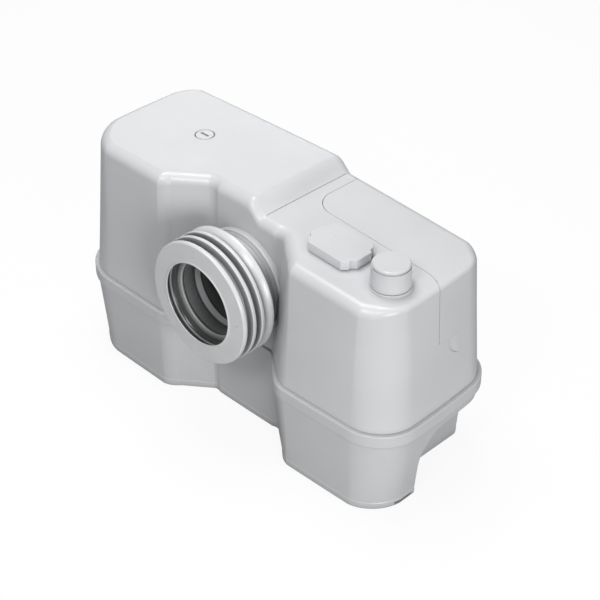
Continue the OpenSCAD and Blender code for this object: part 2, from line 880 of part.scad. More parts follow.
function rib(u, r) = [
    [groove_r, u],
    [r - rib_edge, u],
    [r, u + rib_edge],
    [r, u + rib_w - rib_edge],
    [r - rib_edge, u + rib_w],
    [groove_r, u + rib_w]];

// Front face: a bead round the mouth, a face that falls back a little and the flange's edge
function sleeve_front() = [
    [lip_r, 1.8 * bead_h],
    [lip_r + bead_w / 4, bead_h / 4],
    [lip_r + bead_w * 3 / 4, 0],
    [lip_r + bead_w, bead_h],
    [sleeve_r - flange_edge, bead_h + face_fall],
    [sleeve_r, bead_h + face_fall + flange_edge],
    [sleeve_r, flange_back - rib_edge],
    [sleeve_r - rib_edge, flange_back],
    [groove_r, flange_back]];

// The rear band rises backwards to a blunt edge
function rear_band() = concat(
    [[groove_r, band_u]],
    [for (i = [0 : band_steps])
        let (t = i / band_steps)
        [mix(band_foot_r, band_r, 1 - pow(1 - t, band_curve)), band_u + band_w * t]],
    [[band_r - rib_edge, band_u + band_w + rib_edge], [neck_r, band_u + band_w + rib_edge]]);

function neck_ring(u) = [
    [neck_r, u],
    [neck_r + neck_ring_h, u + neck_ring_w / 3],
    [neck_r + neck_ring_h, u + neck_ring_w],
    [neck_r, u + neck_ring_w * 4 / 3]];

function inner_lip(u) = [
    [mouth_r, u + 1.4 * inner_lip_w],
    [inner_lip_r, u + inner_lip_w / 2],
    [inner_lip_r, u - inner_lip_w / 2],
    [mouth_r, u - 1.4 * inner_lip_w]];

function sleeve_profile() = concat(
    sleeve_front(),
    rib(rib_u, rib_1_r),
    rib(rib_u + rib_pitch, rib_2_r),
    rear_band(),
    [for (u = neck_ring_u) each neck_ring(u)],
    [[neck_r, sleeve_l], [grip_r, sleeve_l], [grip_r, stop_u], [stop_r, stop_u]],
    [[stop_r, stop_u - stop_w], [mouth_r, stop_u - 2 * stop_w]],
    [for (u = inner_lip_u) each inner_lip(u)],
    [[lip_r, lip_back]]);

module inlet_sleeve() {
    color("lightgray")
    along_y(0, sleeve_front_y, inlet_z)
        rotate_extrude($fn = 96)
            polygon(sleeve_profile());
}

// Flat filter cap: a tab with slanted sides on each end, between two shoulders
tab_tip = 19;
tab_root = 27;
tab_proud = 4;
cap_chamfer = 5;
cap_edge = 0.8;
cap_skin = 2;
module filter_cap_plan(grow) {
    l = filter_cap_l / 2 + grow;
    w = filter_cap_w / 2 + grow;
    neck = l - tab_proud;
    corner_side = [[neck - cap_chamfer, w], [neck, w - cap_chamfer]];
    tab_side = [[neck, tab_root / 2 + grow], [l, tab_tip / 2 + grow]];
    for (x = [0, 1], y = [0, 1])
        mirror([x, 0])
            mirror([0, y])
                polygon(concat(corner_side, tab_side, [[l, -eps], [-eps, -eps], [-eps, w]]));
}

module filter_cap() {
    color("gainsboro")
    on_low_top(filter_x, filter_y)
        difference() {
            union() {
                translate([0, 0, lift_gap])
                    linear_extrude(filter_cap_h - lift_gap - cap_edge)
                        filter_cap_plan(0);
                translate([0, 0, filter_cap_h - cap_edge - eps])
                    linear_extrude(cap_edge + eps)
                        filter_cap_plan(-cap_edge);
            }
            cube([
                well_l + 2 * well_wall + 2 * lift_gap,
                well_w + 2 * well_wall + 2 * lift_gap,
                2 * (filter_cap_h - cap_skin)], center = true);
        }
}

module carbon_filter() {
    color("black")
    on_low_top(filter_x, filter_y)
        translate([-well_l / 2 + seat_gap, -well_w / 2 + seat_gap, -well_d])
            cube([well_l - 2 * seat_gap, well_w - 2 * seat_gap, well_d]);
}

// Round cap over the upper end of the discharge, with a fine groove below its crown
cap_taper = 0.6;
cap_groove = 0.6;
cap_round = 1.4;
cap_groove_drop = 3.4;
module outlet_cap() {
    r = outlet_cap_d / 2;
    neck = r - cap_taper;
    inner = pipe_d / 2 + lift_gap;
    z0 = seat_z + lift_gap;
    z1 = seat_z + outlet_cap_h;
    groove_z = z1 - cap_groove_drop;
    color("gainsboro")
    translate([outlet_x, outlet_y, 0])
        rotate_extrude()
            polygon([
                [inner, z0],
                [r, z0],
                [neck, groove_z],
                [neck - cap_groove, groove_z + 0.7 * cap_groove],
                [neck - cap_groove, groove_z + 1.7 * cap_groove],
                [neck - 0.3 * cap_groove, groove_z + 2.4 * cap_groove],
                [neck - 0.7 * cap_groove, z1 - 1.2 * cap_round],
                [neck - 1.2 * cap_round, z1],
                [0, z1],
                [0, stub_top + lift_gap],
                [inner, stub_top + lift_gap]]);
}

shank_l = 22;
shank_play = 1;
slot_w = 2.4;
slot_d = 1.8;
slot_share = 0.72;
module cover_screw() {
    color("silver")
    translate([screw_x, screw_y, 0])
        difference() {
            union() {
                translate([0, 0, screw_seat_z + lift_gap])
                    cylinder(d = screw_d, h = head_t - lift_gap);
                translate([0, 0, boss_z - shank_l + shank_play])
                    cylinder(d = shank_d, h = boss_h + shank_l - head_t);
            }
            translate([-slot_share * screw_d / 2, -slot_w / 2, tall_h - slot_d])
                cube([slot_share * screw_d, slot_w, slot_d + eps]);
        }
}

// Discharge: riser from the volute, check valve on the deck, stub through the low top
riser_bore = riser_d - 2 * pipe_wall;
pipe_bore = pipe_d - 2 * pipe_wall;
valve_z = deck_top;
valve_top = valve_z + valve_h;
valve_seat_t = 5;
valve_end_t = 4;
socket_l = 7;

module riser_pipe() {
    color("whitesmoke")
    translate([riser_x, outlet_y, riser_foot_z])
        ring(riser_d, riser_bore, valve_z + socket_l - riser_foot_z);
}

module outlet_stub() {
    color("whitesmoke")
    translate([outlet_x, outlet_y, valve_top - socket_l])
        ring(pipe_d, pipe_bore, stub_top - valve_top + socket_l);
}

// Check valve: the flap lies on the seat over the riser and swings up about a pin across the body
flap_t = 3;
flap_lap = 3;
flap_d = riser_bore + 2 * flap_lap;
flap_z = valve_z + socket_l + valve_seat_t;
pin_d = 3;
ear_wall = 2;
ear_d = pin_d + 2 * ear_wall;
hinge_x = flap_d / 2 + ear_d / 2 - riser_shift;
hinge_z = flap_z + ear_d / 2 + 2 * seat_gap;
valve_wall = 3;
valve_inner_d = valve_d - 2 * valve_wall;
module at_hinge(y) {
    translate([outlet_x + hinge_x, outlet_y + y, hinge_z])
        rotate([-90, 0, 0])
            children();
}

module valve_body() {
    inner_top = valve_top - socket_l - valve_end_t;
    color("lightsteelblue")
    difference() {
        translate([outlet_x, outlet_y, valve_z])
            cylinder(d = valve_d, h = valve_h);
        translate([riser_x, outlet_y, valve_z - eps])
            cylinder(d = riser_d + 2 * shaft_fit, h = socket_l + eps);
        translate([riser_x, outlet_y, valve_z])
            cylinder(d = riser_bore, h = valve_h / 2);
        translate([outlet_x, outlet_y, flap_z])
            cylinder(d = valve_inner_d, h = inner_top - flap_z);
        translate([outlet_x, outlet_y, flap_z])
            cylinder(d = pipe_bore, h = valve_h);
        translate([outlet_x, outlet_y, valve_top - socket_l])
            cylinder(d = pipe_d + 2 * shaft_fit, h = socket_l + eps);
        at_hinge(-valve_d)
            cylinder(d = pin_d + 2 * shaft_fit, h = 2 * valve_d);
    }
}

ear_w = 5;
ear_gap = 6;
module valve_flap() {
    color("dimgray")
    difference() {
        union() {
            translate([riser_x, outlet_y, flap_z + seat_gap])
                cylinder(d = flap_d, h = flap_t);
            for (s = [-1, 1])
                translate([riser_x, outlet_y + s * ear_gap - ear_w / 2, flap_z + 2 * seat_gap])
                    cube([outlet_x + hinge_x - riser_x, ear_w, flap_t]);
            for (s = [-1, 1])
                at_hinge(s * ear_gap - ear_w / 2)
                    cylinder(d = ear_d, h = ear_w);
        }
        at_hinge(-valve_d)
            cylinder(d = pin_d + 2 * shaft_fit, h = 2 * valve_d);
    }
}

pin_inset = 1;
module valve_pin() {
    half = sqrt(pow(valve_d / 2, 2) - pow(hinge_x, 2)) - pin_inset;
    color("silver")
    at_hinge(-half)
        cylinder(d = pin_d, h = 2 * half);
}

// Motor stack, upwards from the deck
flange_t = 8;
shell_z = deck_top + flange_t;
shell_top = shell_z + motor_h;
shell_wall = 2.2;
fin_h = 1;
fin_t = 2;
fin_count = 16;
shell_d = motor_d - 2 * fin_h;
shell_bore = shell_d - 2 * shell_wall;
bearing_d = 30;
bearing_t = 9;
lower_bearing_t = 7;
hub_wall = 4;
cover_t = 12;
cover_plate_t = 4;
stator_foot = 8;
stator_head = 12;
core_short = 2;
stator_z = shell_z + stator_foot;
stator_h = motor_h - stator_foot - stator_head;
shaft_top = shell_top + cover_t - hub_wall;

module ring(outer, inner, h) {
    difference() {
        cylinder(d = outer, h = h);
        translate([0, 0, -eps])
            cylinder(d = inner, h = h + 2 * eps);
    }
}

module at_motor(z) {
    translate([motor_x, motor_y, z])
        children();
}

module motor_shell() {
    color("dimgray")
    at_motor(shell_z)
        difference() {
            union() {
                cylinder(d = shell_d, h = motor_h);
                for (i = [0 : fin_count - 1])
                    rotate(i * 360 / fin_count)
                        translate([shell_d / 2 - fin_t, -fin_t / 2, stator_foot])
                            cube([fin_h + fin_t, fin_t, motor_h - 2 * stator_foot]);
            }
            translate([0, 0, -eps])
                cylinder(d = shell_bore, h = motor_h + 2 * eps);
        }
}

module motor_cover() {
    color("gray")
    at_motor(shell_top)
        difference() {
            union() {
                cylinder(d = shell_d, h = cover_plate_t);
                cylinder(d = bearing_d + 2 * hub_wall, h = cover_t);
            }
            translate([0, 0, -eps])
                cylinder(d = bearing_d, h = bearing_t + eps);
        }
}

module motor_flange() {
    color("gray")
    at_motor(deck_top)
        difference() {
            union() {
                cylinder(d = shell_d, h = flange_t);
                for (a = screw_turns)
                    rotate(a)
                        translate([motor_screw_r, 0, 0])
                            cylinder(d = boss_d, h = lug_t);
                for (a = screw_turns)
                    rotate(a)
                        translate([0, -boss_d / 2, 0])
                            cube([motor_screw_r, boss_d, lug_t]);
            }
            translate([0, 0, -eps])
                cylinder(d = motor_hole_d, h = flange_t + 2 * eps);
            for (a = screw_turns)
                rotate(a)
                    translate([motor_screw_r, 0, -eps])
                        cylinder(d = m4_d + 2 * seat_gap, h = flange_t);
        }
}

m4_head_d = 7.5;
m4_head_t = 3.4;
m4_l = 12;
module motor_screws() {
    color("silver")
    for (a = screw_turns)
        at_motor(deck_top + lug_t)
            rotate(a)
                translate([motor_screw_r, 0, 0])
                    screw(m4_head_d, m4_head_t, m4_d, m4_l);
}

// Screw whose head stands on z = 0 and whose shank points down
module screw(head_d, head_h, d, l) {
    cylinder(d = head_d, h = head_h);
    translate([0, 0, -l])
        cylinder(d = d, h = l + head_h / 2);
}

module stator() {
    color("darkorange")
    at_motor(stator_z)
        ring(shell_bore - 2 * shaft_fit, rotor_d + 2 * air_gap, stator_h);
}

module rotor_core() {
    color("slategray")
    at_motor(stator_z + core_short)
        ring(rotor_d, shaft_d + 2 * shaft_fit, stator_h - 2 * core_short);
}

// The shaft runs from the cutter up to the top bearing
module motor_shaft() {
    color("silver")
    at_motor(cutter_z - shaft_past)
        cylinder(d = shaft_d, h = shaft_top - cutter_z + shaft_past);
}

module upper_bearing() {
    color("silver")
    at_motor(shell_top + seat_gap)
        ring(bearing_d - 2 * shaft_fit, shaft_d + 2 * shaft_fit, bearing_t - seat_gap);
}

module lower_bearing() {
    color("silver")
    at_motor(deck_top)
        ring(motor_hole_d - 2 * shaft_fit, shaft_d + 2 * shaft_fit, lower_bearing_t);
}

module shaft_seal() {
    color("black")
    at_motor(deck_z)
        ring(motor_hole_d - 2 * shaft_fit, shaft_d + 2 * shaft_fit, deck_t);
}

// Pump below the deck: neck, volute with its spout, cutter at the bottom
neck_d = 44;
neck_h = 18;
shaft_way = 3;
shaft_past = 3;
volute_wall = 3;
volute_top = deck_z - neck_h;
chamber_z = volute_top - volute_wall - volute_h;
suction_t = 4;
suction_z = chamber_z - suction_t;
cutter_z = suction_z - cutter_h;
spout_way = [riser_x - motor_x, outlet_y - motor_y];
spout_angle = atan2(spout_way[1], spout_way[0]);
spout_len = norm(spout_way);
spout_d = 20;
spout_z = chamber_z + volute_h / 2;
socket_wall = 2;
socket_d = riser_d + 2 * socket_wall;
socket_foot_z = spout_z - spout_d / 2;
socket_sink = 1;
socket_rim = 2;
riser_foot_z = spout_z + spout_d / 2 - socket_sink;
socket_top_z = riser_foot_z + socket_l + socket_rim;

module spout(d, start) {
    at_motor(spout_z)
        rotate([0, 90, spout_angle])
            translate([0, 0, start])
                cylinder(d = d, h = spout_len - start);
}

module pump_volute() {
    color("lightsteelblue")
    difference() {
        union() {
            at_motor(chamber_z)
                cylinder(d = volute_d, h = volute_h + volute_wall);
            at_motor(volute_top - eps)
                cylinder(d = neck_d, h = deck_z - volute_top + eps);
            spout(spout_d, volute_d / 2 - volute_wall / 2);
            translate([riser_x, outlet_y, socket_foot_z])
                cylinder(d = socket_d, h = socket_top_z - socket_foot_z);
        }
        at_motor(chamber_z - eps)
            cylinder(d = volute_d - 2 * volute_wall, h = volute_h + eps);
        at_motor(volute_top - volute_wall - eps)
            cylinder(d = shaft_d + 2 * shaft_way, h = deck_z - volute_top + volute_wall + 2 * eps);
        spout(spout_d - 2 * volute_wall, volute_d / 2 - 3 * volute_wall);
        translate([riser_x, outlet_y, riser_foot_z])
            cylinder(d = riser_d + 2 * shaft_fit, h = socket_top_z - riser_foot_z + eps);
        translate([riser_x, outlet_y, socket_foot_z + volute_wall / 2])
            cylinder(d = riser_bore, h = riser_foot_z - socket_foot_z);
        for (a = suction_turns)
            at_motor(chamber_z)
                rotate(a)
                    translate([suction_screw_r, 0, -eps])
                        cylinder(d = suction_screw_d + 2 * shaft_fit, h = suction_boss_h + eps);
    }
    color("lightsteelblue")
    for (a = suction_turns)
        at_motor(chamber_z)
            rotate(a)
                translate([suction_screw_r, 0, 0])
                    ring(suction_lug_d, suction_screw_d + 2 * shaft_fit, suction_boss_h);
}

suction_turns = [80, 170, 260];
suction_boss_h = 10;
suction_screw_d = 3;
suction_lug_d = 8;
suction_head_d = 6;
suction_head_t = 2.4;
suction_screw_l = suction_t + suction_boss_h - 1.5;
suction_screw_r = volute_d / 2 + suction_screw_d / 2;
eye_d = 30;
module suction_cover() {
    color("steelblue")
    at_motor(suction_z)
        linear_extrude(suction_t)
            difference() {
                union() {
                    circle(d = volute_d);
                    for (a = suction_turns)
                        rotate(a)
                            translate([suction_screw_r, 0])
                                circle(d = suction_lug_d);
                }
                circle(d = eye_d);
                for (a = suction_turns)
                    rotate(a)
                        translate([suction_screw_r, 0])
                            circle(d = suction_screw_d + 2 * shaft_fit);
            }
}

module suction_screws() {
    color("silver")
    for (a = suction_turns)
        at_motor(suction_z)
            rotate(a)
                translate([suction_screw_r, 0, 0])
                    mirror([0, 0, 1])
                        screw(suction_head_d, suction_head_t, suction_screw_d, suction_screw_l);
}

// Open impeller: hub and disc in one revolve, with swept vanes under the disc
vane_t = 2.4;
impeller_run = 1.5;
impeller_h = volute_h - 2 * impeller_run;
impeller_disc_t = 3;
hub_d = shaft_d + 8;
sweep_r = impeller_d / 2.6;
vane_edge = 0.5;
module impeller() {
    r = impeller_d / 2;
    bore = shaft_d / 2 + shaft_fit;
    hub = hub_d / 2;
    under = impeller_h - impeller_disc_t;
    color("darkslategray")
    at_motor(chamber_z + impeller_run) {
        rotate_extrude()
            polygon([[bore, 0], [hub, 0], [hub, under], [r, under], [r, impeller_h], [bore, impeller_h]]);
        for (i = [0 : vane_count - 1])
            rotate(i * 360 / vane_count)
                vane(under + impeller_disc_t / 2);
    }
}

// One backward-swept vane: a slice of a ring, from inside the hub to just within the disc's edge
module vane(h) {
    intersection() {
        translate([sweep_r, 0, 0])
            ring(2 * sweep_r + vane_t, 2 * sweep_r - vane_t, h);
        ring(impeller_d - 2 * vane_edge, hub_d - 4 * vane_edge, h);
        translate([0, 0, -eps])
            cube([impeller_d, impeller_d, h + 2 * eps]);
    }
}

// Grinder: a slotted ring with a two-armed blade inside it, held by a nut on the shaft's end
cutter_wall = 4;
cutter_slot = 5;
cutter_bridge = 4;
blade_run = 1.2;
blade_w = 12;
blade_t = 5;
blade_lift = 2;
blade_hub_d = shaft_d + 7;
nut_h = 5;
module cutter_ring() {
    color("silver")
    at_motor(cutter_z)
        difference() {
            ring(cutter_d, cutter_d - 2 * cutter_wall, cutter_h);
            for (i = [0 : cutter_slots - 1])
                rotate(i * 360 / cutter_slots)
                    translate([cutter_d / 2 - 2 * cutter_wall, -cutter_slot / 2, -eps])
                        cube([3 * cutter_wall, cutter_slot, cutter_h - cutter_bridge + eps]);
        }
}

module cutter_blade() {
    color("silver")
    at_motor(cutter_z + blade_lift)
        difference() {
            union() {
                cylinder(d = blade_hub_d, h = cutter_h - 2 * blade_lift);
                intersection() {
                    translate([-cutter_d / 2, -blade_w / 2, 0])
                        cube([cutter_d, blade_w, blade_t]);
                    cylinder(r = cutter_d / 2 - cutter_wall - blade_run, h = blade_t);
                }
            }
            translate([0, 0, -eps])
                cylinder(d = shaft_d + 2 * shaft_fit, h = cutter_h);
        }
}

module cutter_nut() {
    color("silver")
    at_motor(cutter_z + blade_lift - nut_h)
        difference() {
            cylinder(d = hub_d, h = nut_h, $fn = 6);
            translate([0, 0, -eps])
                cylinder(d = shaft_d + 2 * shaft_fit, h = nut_h + 2 * eps);
        }
}

// Level switch: air trap tube, diaphragm, plunger and snap switch
dip_flange_t = 3;
dip_wall = 2;
air_hole_d = 8;
chamber_top = deck_top + dip_flange_t;
diaphragm_t = 1.5;
plunger_d = 6;
switch_wall = 4;
switch_roof = 10;
module at_switch(z) {
    translate([dip_x, dip_y, z])
        children();
}

module dip_tube() {
    color("whitesmoke")
    at_switch(0)
        difference() {
            union() {
                translate([0, 0, floor_t + dip_gap])
                    cylinder(d = dip_d, h = deck_top - floor_t - dip_gap + eps);
                translate([0, 0, deck_top])
                    cylinder(d = switch_d, h = dip_flange_t);
            }
            translate([0, 0, floor_t + dip_gap - eps])
                cylinder(d = dip_d - 2 * dip_wall, h = deck_top - floor_t - dip_gap + eps);
            cylinder(d = air_hole_d, h = tall_h);
        }
}

module switch_diaphragm() {
    color("black")
    at_switch(chamber_top)
        cylinder(d = switch_d, h = diaphragm_t);
}

module switch_body() {
    color("dimgray")
    at_switch(chamber_top + diaphragm_t)
        difference() {
            cylinder(d = switch_d, h = switch_h);
            translate([0, 0, -eps])
                cylinder(d = switch_d - 2 * switch_wall, h = switch_h - switch_roof + eps);
            cylinder(d = plunger_d + 2 * shaft_fit, h = switch_h + eps);
        }
}

plunger_foot_t = 3;
plunger_top = switch_h + plunger_foot_t;
module switch_plunger() {
    color("white")
    at_switch(chamber_top + diaphragm_t + seat_gap) {
        cylinder(d = switch_d - 4 * switch_wall, h = plunger_foot_t);
        cylinder(d = plunger_d, h = plunger_top);
    }
}

// Snap switch on a bridge over the plunger
snap_l = 22;
snap_w = 10;
snap_h = 14;
snap_leg = 4;
module microswitch() {
    gap = plunger_top + plunger_travel + 3 * seat_gap - switch_h;
    color("black")
    at_switch(chamber_top + diaphragm_t + switch_h) {
        translate([-snap_l / 2, -snap_w / 2, gap])
            cube([snap_l, snap_w, snap_h]);
        for (s = [-1, 1])
            translate([s * (snap_l - snap_leg) / 2 - snap_leg / 2, -snap_w / 2, 0])
                cube([snap_leg, snap_w, gap + eps]);
    }
}

tag_pitch = 12;
tag_w = 6;
tag_t = 0.8;
tag_h = 9;
module capacitor() {
    color("whitesmoke")
    translate([capacitor_x, capacitor_y, deck_top]) {
        cylinder(d = capacitor_d, h = capacitor_h);
        for (s = [-1, 1])
            translate([(s * tag_pitch - tag_t) / 2, -tag_w / 2, capacitor_h - eps])
                cube([tag_t, tag_w, tag_h]);
    }
}

// Strap round the capacitor with a foot on the deck
clip_w = 12;
clip_t = 2.5;
clip_z = 20;
clip_foot = 8;
module capacitor_clip() {
    color("dimgray")
    translate([capacitor_x, capacitor_y, deck_top]) {
        translate([0, 0, clip_z])
            ring(capacitor_d + 2 * clip_t, capacitor_d + 2 * shaft_fit, clip_w);
        difference() {
            translate([capacitor_d / 2, -clip_w / 2, 0])
                cube([clip_foot, clip_w, clip_z + clip_w]);
            translate([0, 0, -eps])
                cylinder(d = capacitor_d + 2 * shaft_fit, h = clip_z + clip_w + 2 * eps);
        }
    }
}

board_z = deck_top + board_post_h;
board_t = 1.6;
board_screw_d = 3;
board_screw_l = 9;
module control_board() {
    color("darkgreen")
    difference() {
        translate([board_x - board_l / 2, board_y - board_w / 2, board_z])
            cube([board_l, board_w, board_t]);
        for (p = board_posts)
            translate([p[0], p[1], board_z - eps])
                cylinder(d = board_screw_d + 2 * seat_gap, h = board_t + 2 * eps);
    }
}

terminal_ways = 5;
terminal_pitch = 8;
terminal_w = 16;
terminal_h = 13;
terminal_bore = 4;
terminal_bore_z = 5;
driver_d = 4.6;
module terminal_block() {
    length = terminal_ways * terminal_pitch;
    color("ivory")
    translate([board_x - length / 2, board_y - terminal_w / 2, board_z + board_t])
        difference() {
            cube([length, terminal_w, terminal_h]);
            for (i = [0 : terminal_ways - 1])
                translate([(i + 0.5) * terminal_pitch, 0, 0]) {
                    translate([0, -eps, terminal_bore_z])
                        rotate([-90, 0, 0])
                            cylinder(d = terminal_bore, h = terminal_w + 2 * eps);
                    translate([0, terminal_w / 2, terminal_bore_z + terminal_bore])
                        cylinder(d = driver_d, h = terminal_h);
                }
        }
}

board_head_d = 5.6;
board_head_t = 2.2;
board_shank_l = board_screw_l - 0.5;
module board_screws() {
    color("silver")
    for (p = board_posts)
        translate([p[0], p[1], board_z + board_t])
            screw(board_head_d, board_head_t, board_screw_d, board_shank_l);
}

// Rubber grommet in the back wall for the mains lead
grommet_flange = 3;
grommet_flange_t = 2.5;
grommet_play = 0.5;
module cable_grommet() {
    y = back_y + bow_x(grommet_x) - tan(back_draft) * (grommet_z - rim_z);
    inner_end = -wall - grommet_flange_t - grommet_play;
    outer_end = grommet_flange_t + grommet_play;
    color("dimgray")
    along_y(grommet_x, y, grommet_z)
        difference() {
            union() {
                translate([0, 0, inner_end])
                    cylinder(d = grommet_hole_d - 2 * shaft_fit, h = outer_end - inner_end);
                for (z = [inner_end, grommet_play])
                    translate([0, 0, z])
                        cylinder(d = grommet_hole_d + 2 * grommet_flange, h = grommet_flange_t);
            }
            translate([0, 0, inner_end - eps])
                cylinder(d = cable_d, h = outer_end - inner_end + 2 * eps);
        }
}

module foot_pads() {
    color("black")
    for (p = pad_places)
        translate([p[0], p[1], 0])
            cylinder(d = pad_d, h = pad_t);
}

lower_tank();
upper_housing();
service_cover();
tank_gasket();
deck_plate();
inlet_elbow();
inlet_nut();
inlet_sleeve();
filter_cap();
carbon_filter();
outlet_cap();
cover_screw();
riser_pipe();
outlet_stub();
valve_body();
valve_flap();
valve_pin();
motor_shell();
motor_cover();
motor_flange();
stator();
rotor_core();
motor_shaft();
upper_bearing();
lower_bearing();
shaft_seal();
pump_volute();
suction_cover();
impeller();
cutter_blade();
cutter_ring();
cutter_nut();
dip_tube();
switch_body();
switch_diaphragm();
switch_plunger();
microswitch();
capacitor();
capacitor_clip();
control_board();
terminal_block();
cable_grommet();
motor_screws();
suction_screws();
board_screws();
foot_pads();
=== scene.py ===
import json
import math

import bmesh
import bpy
from mathutils import Matrix, Vector


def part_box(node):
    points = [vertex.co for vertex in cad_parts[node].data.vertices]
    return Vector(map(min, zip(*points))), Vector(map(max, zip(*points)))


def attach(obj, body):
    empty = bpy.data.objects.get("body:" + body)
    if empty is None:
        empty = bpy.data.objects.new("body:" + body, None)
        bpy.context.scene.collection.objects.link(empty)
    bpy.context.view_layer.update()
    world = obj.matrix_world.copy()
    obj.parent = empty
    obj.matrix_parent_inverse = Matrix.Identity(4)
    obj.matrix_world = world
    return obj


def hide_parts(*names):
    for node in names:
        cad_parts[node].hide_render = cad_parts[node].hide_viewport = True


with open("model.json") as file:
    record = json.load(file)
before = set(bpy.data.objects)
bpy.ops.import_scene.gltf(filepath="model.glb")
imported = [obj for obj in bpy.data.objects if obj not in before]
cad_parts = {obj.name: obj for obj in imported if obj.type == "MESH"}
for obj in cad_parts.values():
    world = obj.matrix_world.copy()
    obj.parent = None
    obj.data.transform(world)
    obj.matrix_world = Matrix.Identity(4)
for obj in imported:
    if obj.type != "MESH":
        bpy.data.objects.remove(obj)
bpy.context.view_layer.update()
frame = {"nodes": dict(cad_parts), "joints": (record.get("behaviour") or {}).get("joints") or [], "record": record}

MM = 0.001

# Sizes that the frame gives, in millimetres


def box_mm(node):
    low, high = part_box(node)
    return low / MM, high / MM


def middle(node):
    low, high = box_mm(node)
    return (low + high) / 2


def half_width(node):
    low, high = box_mm(node)
    return (high.x - low.x) / 2


def joint(name):
    return next(j for j in frame["joints"] if j["name"] == name)


tall_h = box_mm("upper_housing")[1].z
rim_z = box_mm("lower_tank")[1].z
sleeve_low, sleeve_high = box_mm("inlet_sleeve")
inlet_z = middle("inlet_sleeve").z
sleeve_front_y = sleeve_low.y
sleeve_l = sleeve_high.y - sleeve_low.y
sleeve_r = half_width("inlet_sleeve")
cap_low, cap_high = box_mm("outlet_cap")
outlet_cap_r = half_width("outlet_cap")
screw_r = half_width("cover_screw")
filter_x = middle("carbon_filter").x
filter_y = middle("filter_cap").y
filter_cap_w = box_mm("filter_cap")[1].y - box_mm("filter_cap")[0].y
low_slope = math.asin(joint("filter_cap_lift")["axis"][0])
elbow_low, elbow_high = box_mm("inlet_elbow")

# Sizes of the moulding that its box doesn't give, in millimetres and degrees
left_x = -215
right_x = 208
body_w = 157
front_y = -body_w / 2
back_y = body_w / 2
body_l = right_x - left_x
mid_x = (left_x + right_x) / 2
low_h = 231.5
wall = 3
top_fillet = 11
end_fillet = 5
fillet_turn = 0.4
left_skew = 4
right_skew = 6
crown = 3
front_left_r = 50
front_right_r = 38
back_left_r = 30
back_right_r = 36
front_draft = math.tan(math.radians(2.6))
end_draft = math.tan(math.radians(4.5))
back_draft = math.tan(math.radians(0.8))
step_x = 2
step_run = 19
step_end = step_x + step_run
notch_w_in = 84
notch_w_out = 160
notch_d = 31
notch_y = front_y + notch_d
notch_r_out = 26
notch_r_in = 12
rim_h = 13
rim_proud = 4.4
notch_fade_l = 14
tank_proud = 2
tank_front_draft = math.tan(math.radians(1.7))
tank_back_draft = math.tan(math.radians(6.5))
tank_end_draft = math.tan(math.radians(5.5))
base_step_h = 8
base_step_d = 0.6
recess_x = right_x - 36
recess_y = front_y + 54.5
recess_h = 71
recess_r = 35
cover_x = step_end + 11
cover_y = back_y - 68
cover_dip = 14
cover_r = 24
cover_z = 163
lift_gap = 0.4
collar_r = half_width("inlet_elbow")
collar_t = 4
pipe_r = 41
pipe_bore_r = 37.5
elbow_r = 52
filter_cap_l = 58
filter_cap_h = 10
seat_proud = 0.4
seat_face_y = notch_y - crown - seat_proud

# Mesh helpers

on_axis = 1e-6
rod_segments = 96
corner_share = 0.45


def put(name, data):
    """A new object in the scene."""
    thing = bpy.data.objects.new(name, data)
    bpy.context.scene.collection.objects.link(thing)
    return thing


def add_piece(name, points, faces):
    """A new object from points in millimetres, with its faces turned outwards."""
    mesh = bpy.data.meshes.new(name)
    mesh.from_pydata([Vector(p) * MM for p in points], [], faces)
    work = bmesh.new()
    work.from_mesh(mesh)
    bmesh.ops.recalc_face_normals(work, faces=work.faces)
    work.to_mesh(mesh)
    work.free()
    return put(name, mesh)


def bands(count, size, loop=False):
    """Quads between each ring and the next, or in a loop also between the last ring and the first."""
    faces = []
    for ring in range(count if loop else count - 1):
        here = ring * size
        there = (ring + 1) % count * size
        for i in range(size):
            n = (i + 1) % size
            faces.append((here + i, here + n, there + n, there + i))
    return faces


def soften(points, radius, steps=5, closed=True):
    """A polyline with each corner rounded, which takes up less than half of a short side."""
    result = []
    count = len(points)
    for i, here in enumerate(points):
        here = Vector(here)
        if not closed and i in (0, count - 1):
            result.append(here)
            continue
        back = Vector(points[i - 1]) - here
        ahead = Vector(points[(i + 1) % count]) - here
        reach = min(radius, corner_share * back.length, corner_share * ahead.length)
        start = here + back.normalized() * reach
        end = here + ahead.normalized() * reach
        for k in range(steps + 1):
            t = k / steps
            result.append(start.lerp(here, t).lerp(here.lerp(end, t), t))
    return result


def revolve(name, profile, place, segments=128):
    """A closed profile of (radius, height) turned about local Z, with the points on the axis shared."""
    points = []
    rows = []
    for radius, height in profile:
        if radius < on_axis:
            rows.append([len(points)] * segments)
            points.append((0, 0, height))
            continue
        rows.append(list(range(len(points), len(points) + segments)))
        for k in range(segments):
            turn = 2 * math.pi * k / segments
            points.append((radius * math.cos(turn), radius * math.sin(turn), height))
    faces = []
    for a, b in zip(rows, rows[1:] + rows[:1]):
        for k in range(segments):
            n = (k + 1) % segments
            corners = list(dict.fromkeys((a[k], a[n], b[n], b[k])))
            if len(corners) > 2:
                faces.append(corners)
    return add_piece(name, [place @ Vector(p) for p in points], faces)


def stack(name, outline, levels, place):
    """A closed solid through copies of a plan outline: each level is (inset, height)."""
    count = len(outline)
    points = []
    for inset, height in levels:
        for i, here in enumerate(outline):
            before = Vector(outline[i - 1])
            after = Vector(outline[(i + 1) % count])
            along = (after - before).normalized()
            points.append(place @ Vector((here[0] - along.y * inset, here[1] + along.x * inset, height)))
    faces = bands(len(levels), count)
    faces.append(tuple(range(count)))
    faces.append(tuple(range(len(points) - count, len(points))))
    return add_piece(name, points, faces)


def block(name, size, place):
    x, y, z = (s / 2 for s in size)
    return stack(name, [(-x, -y), (x, -y), (x, y), (-x, y)], [(0, -z), (0, z)], place)


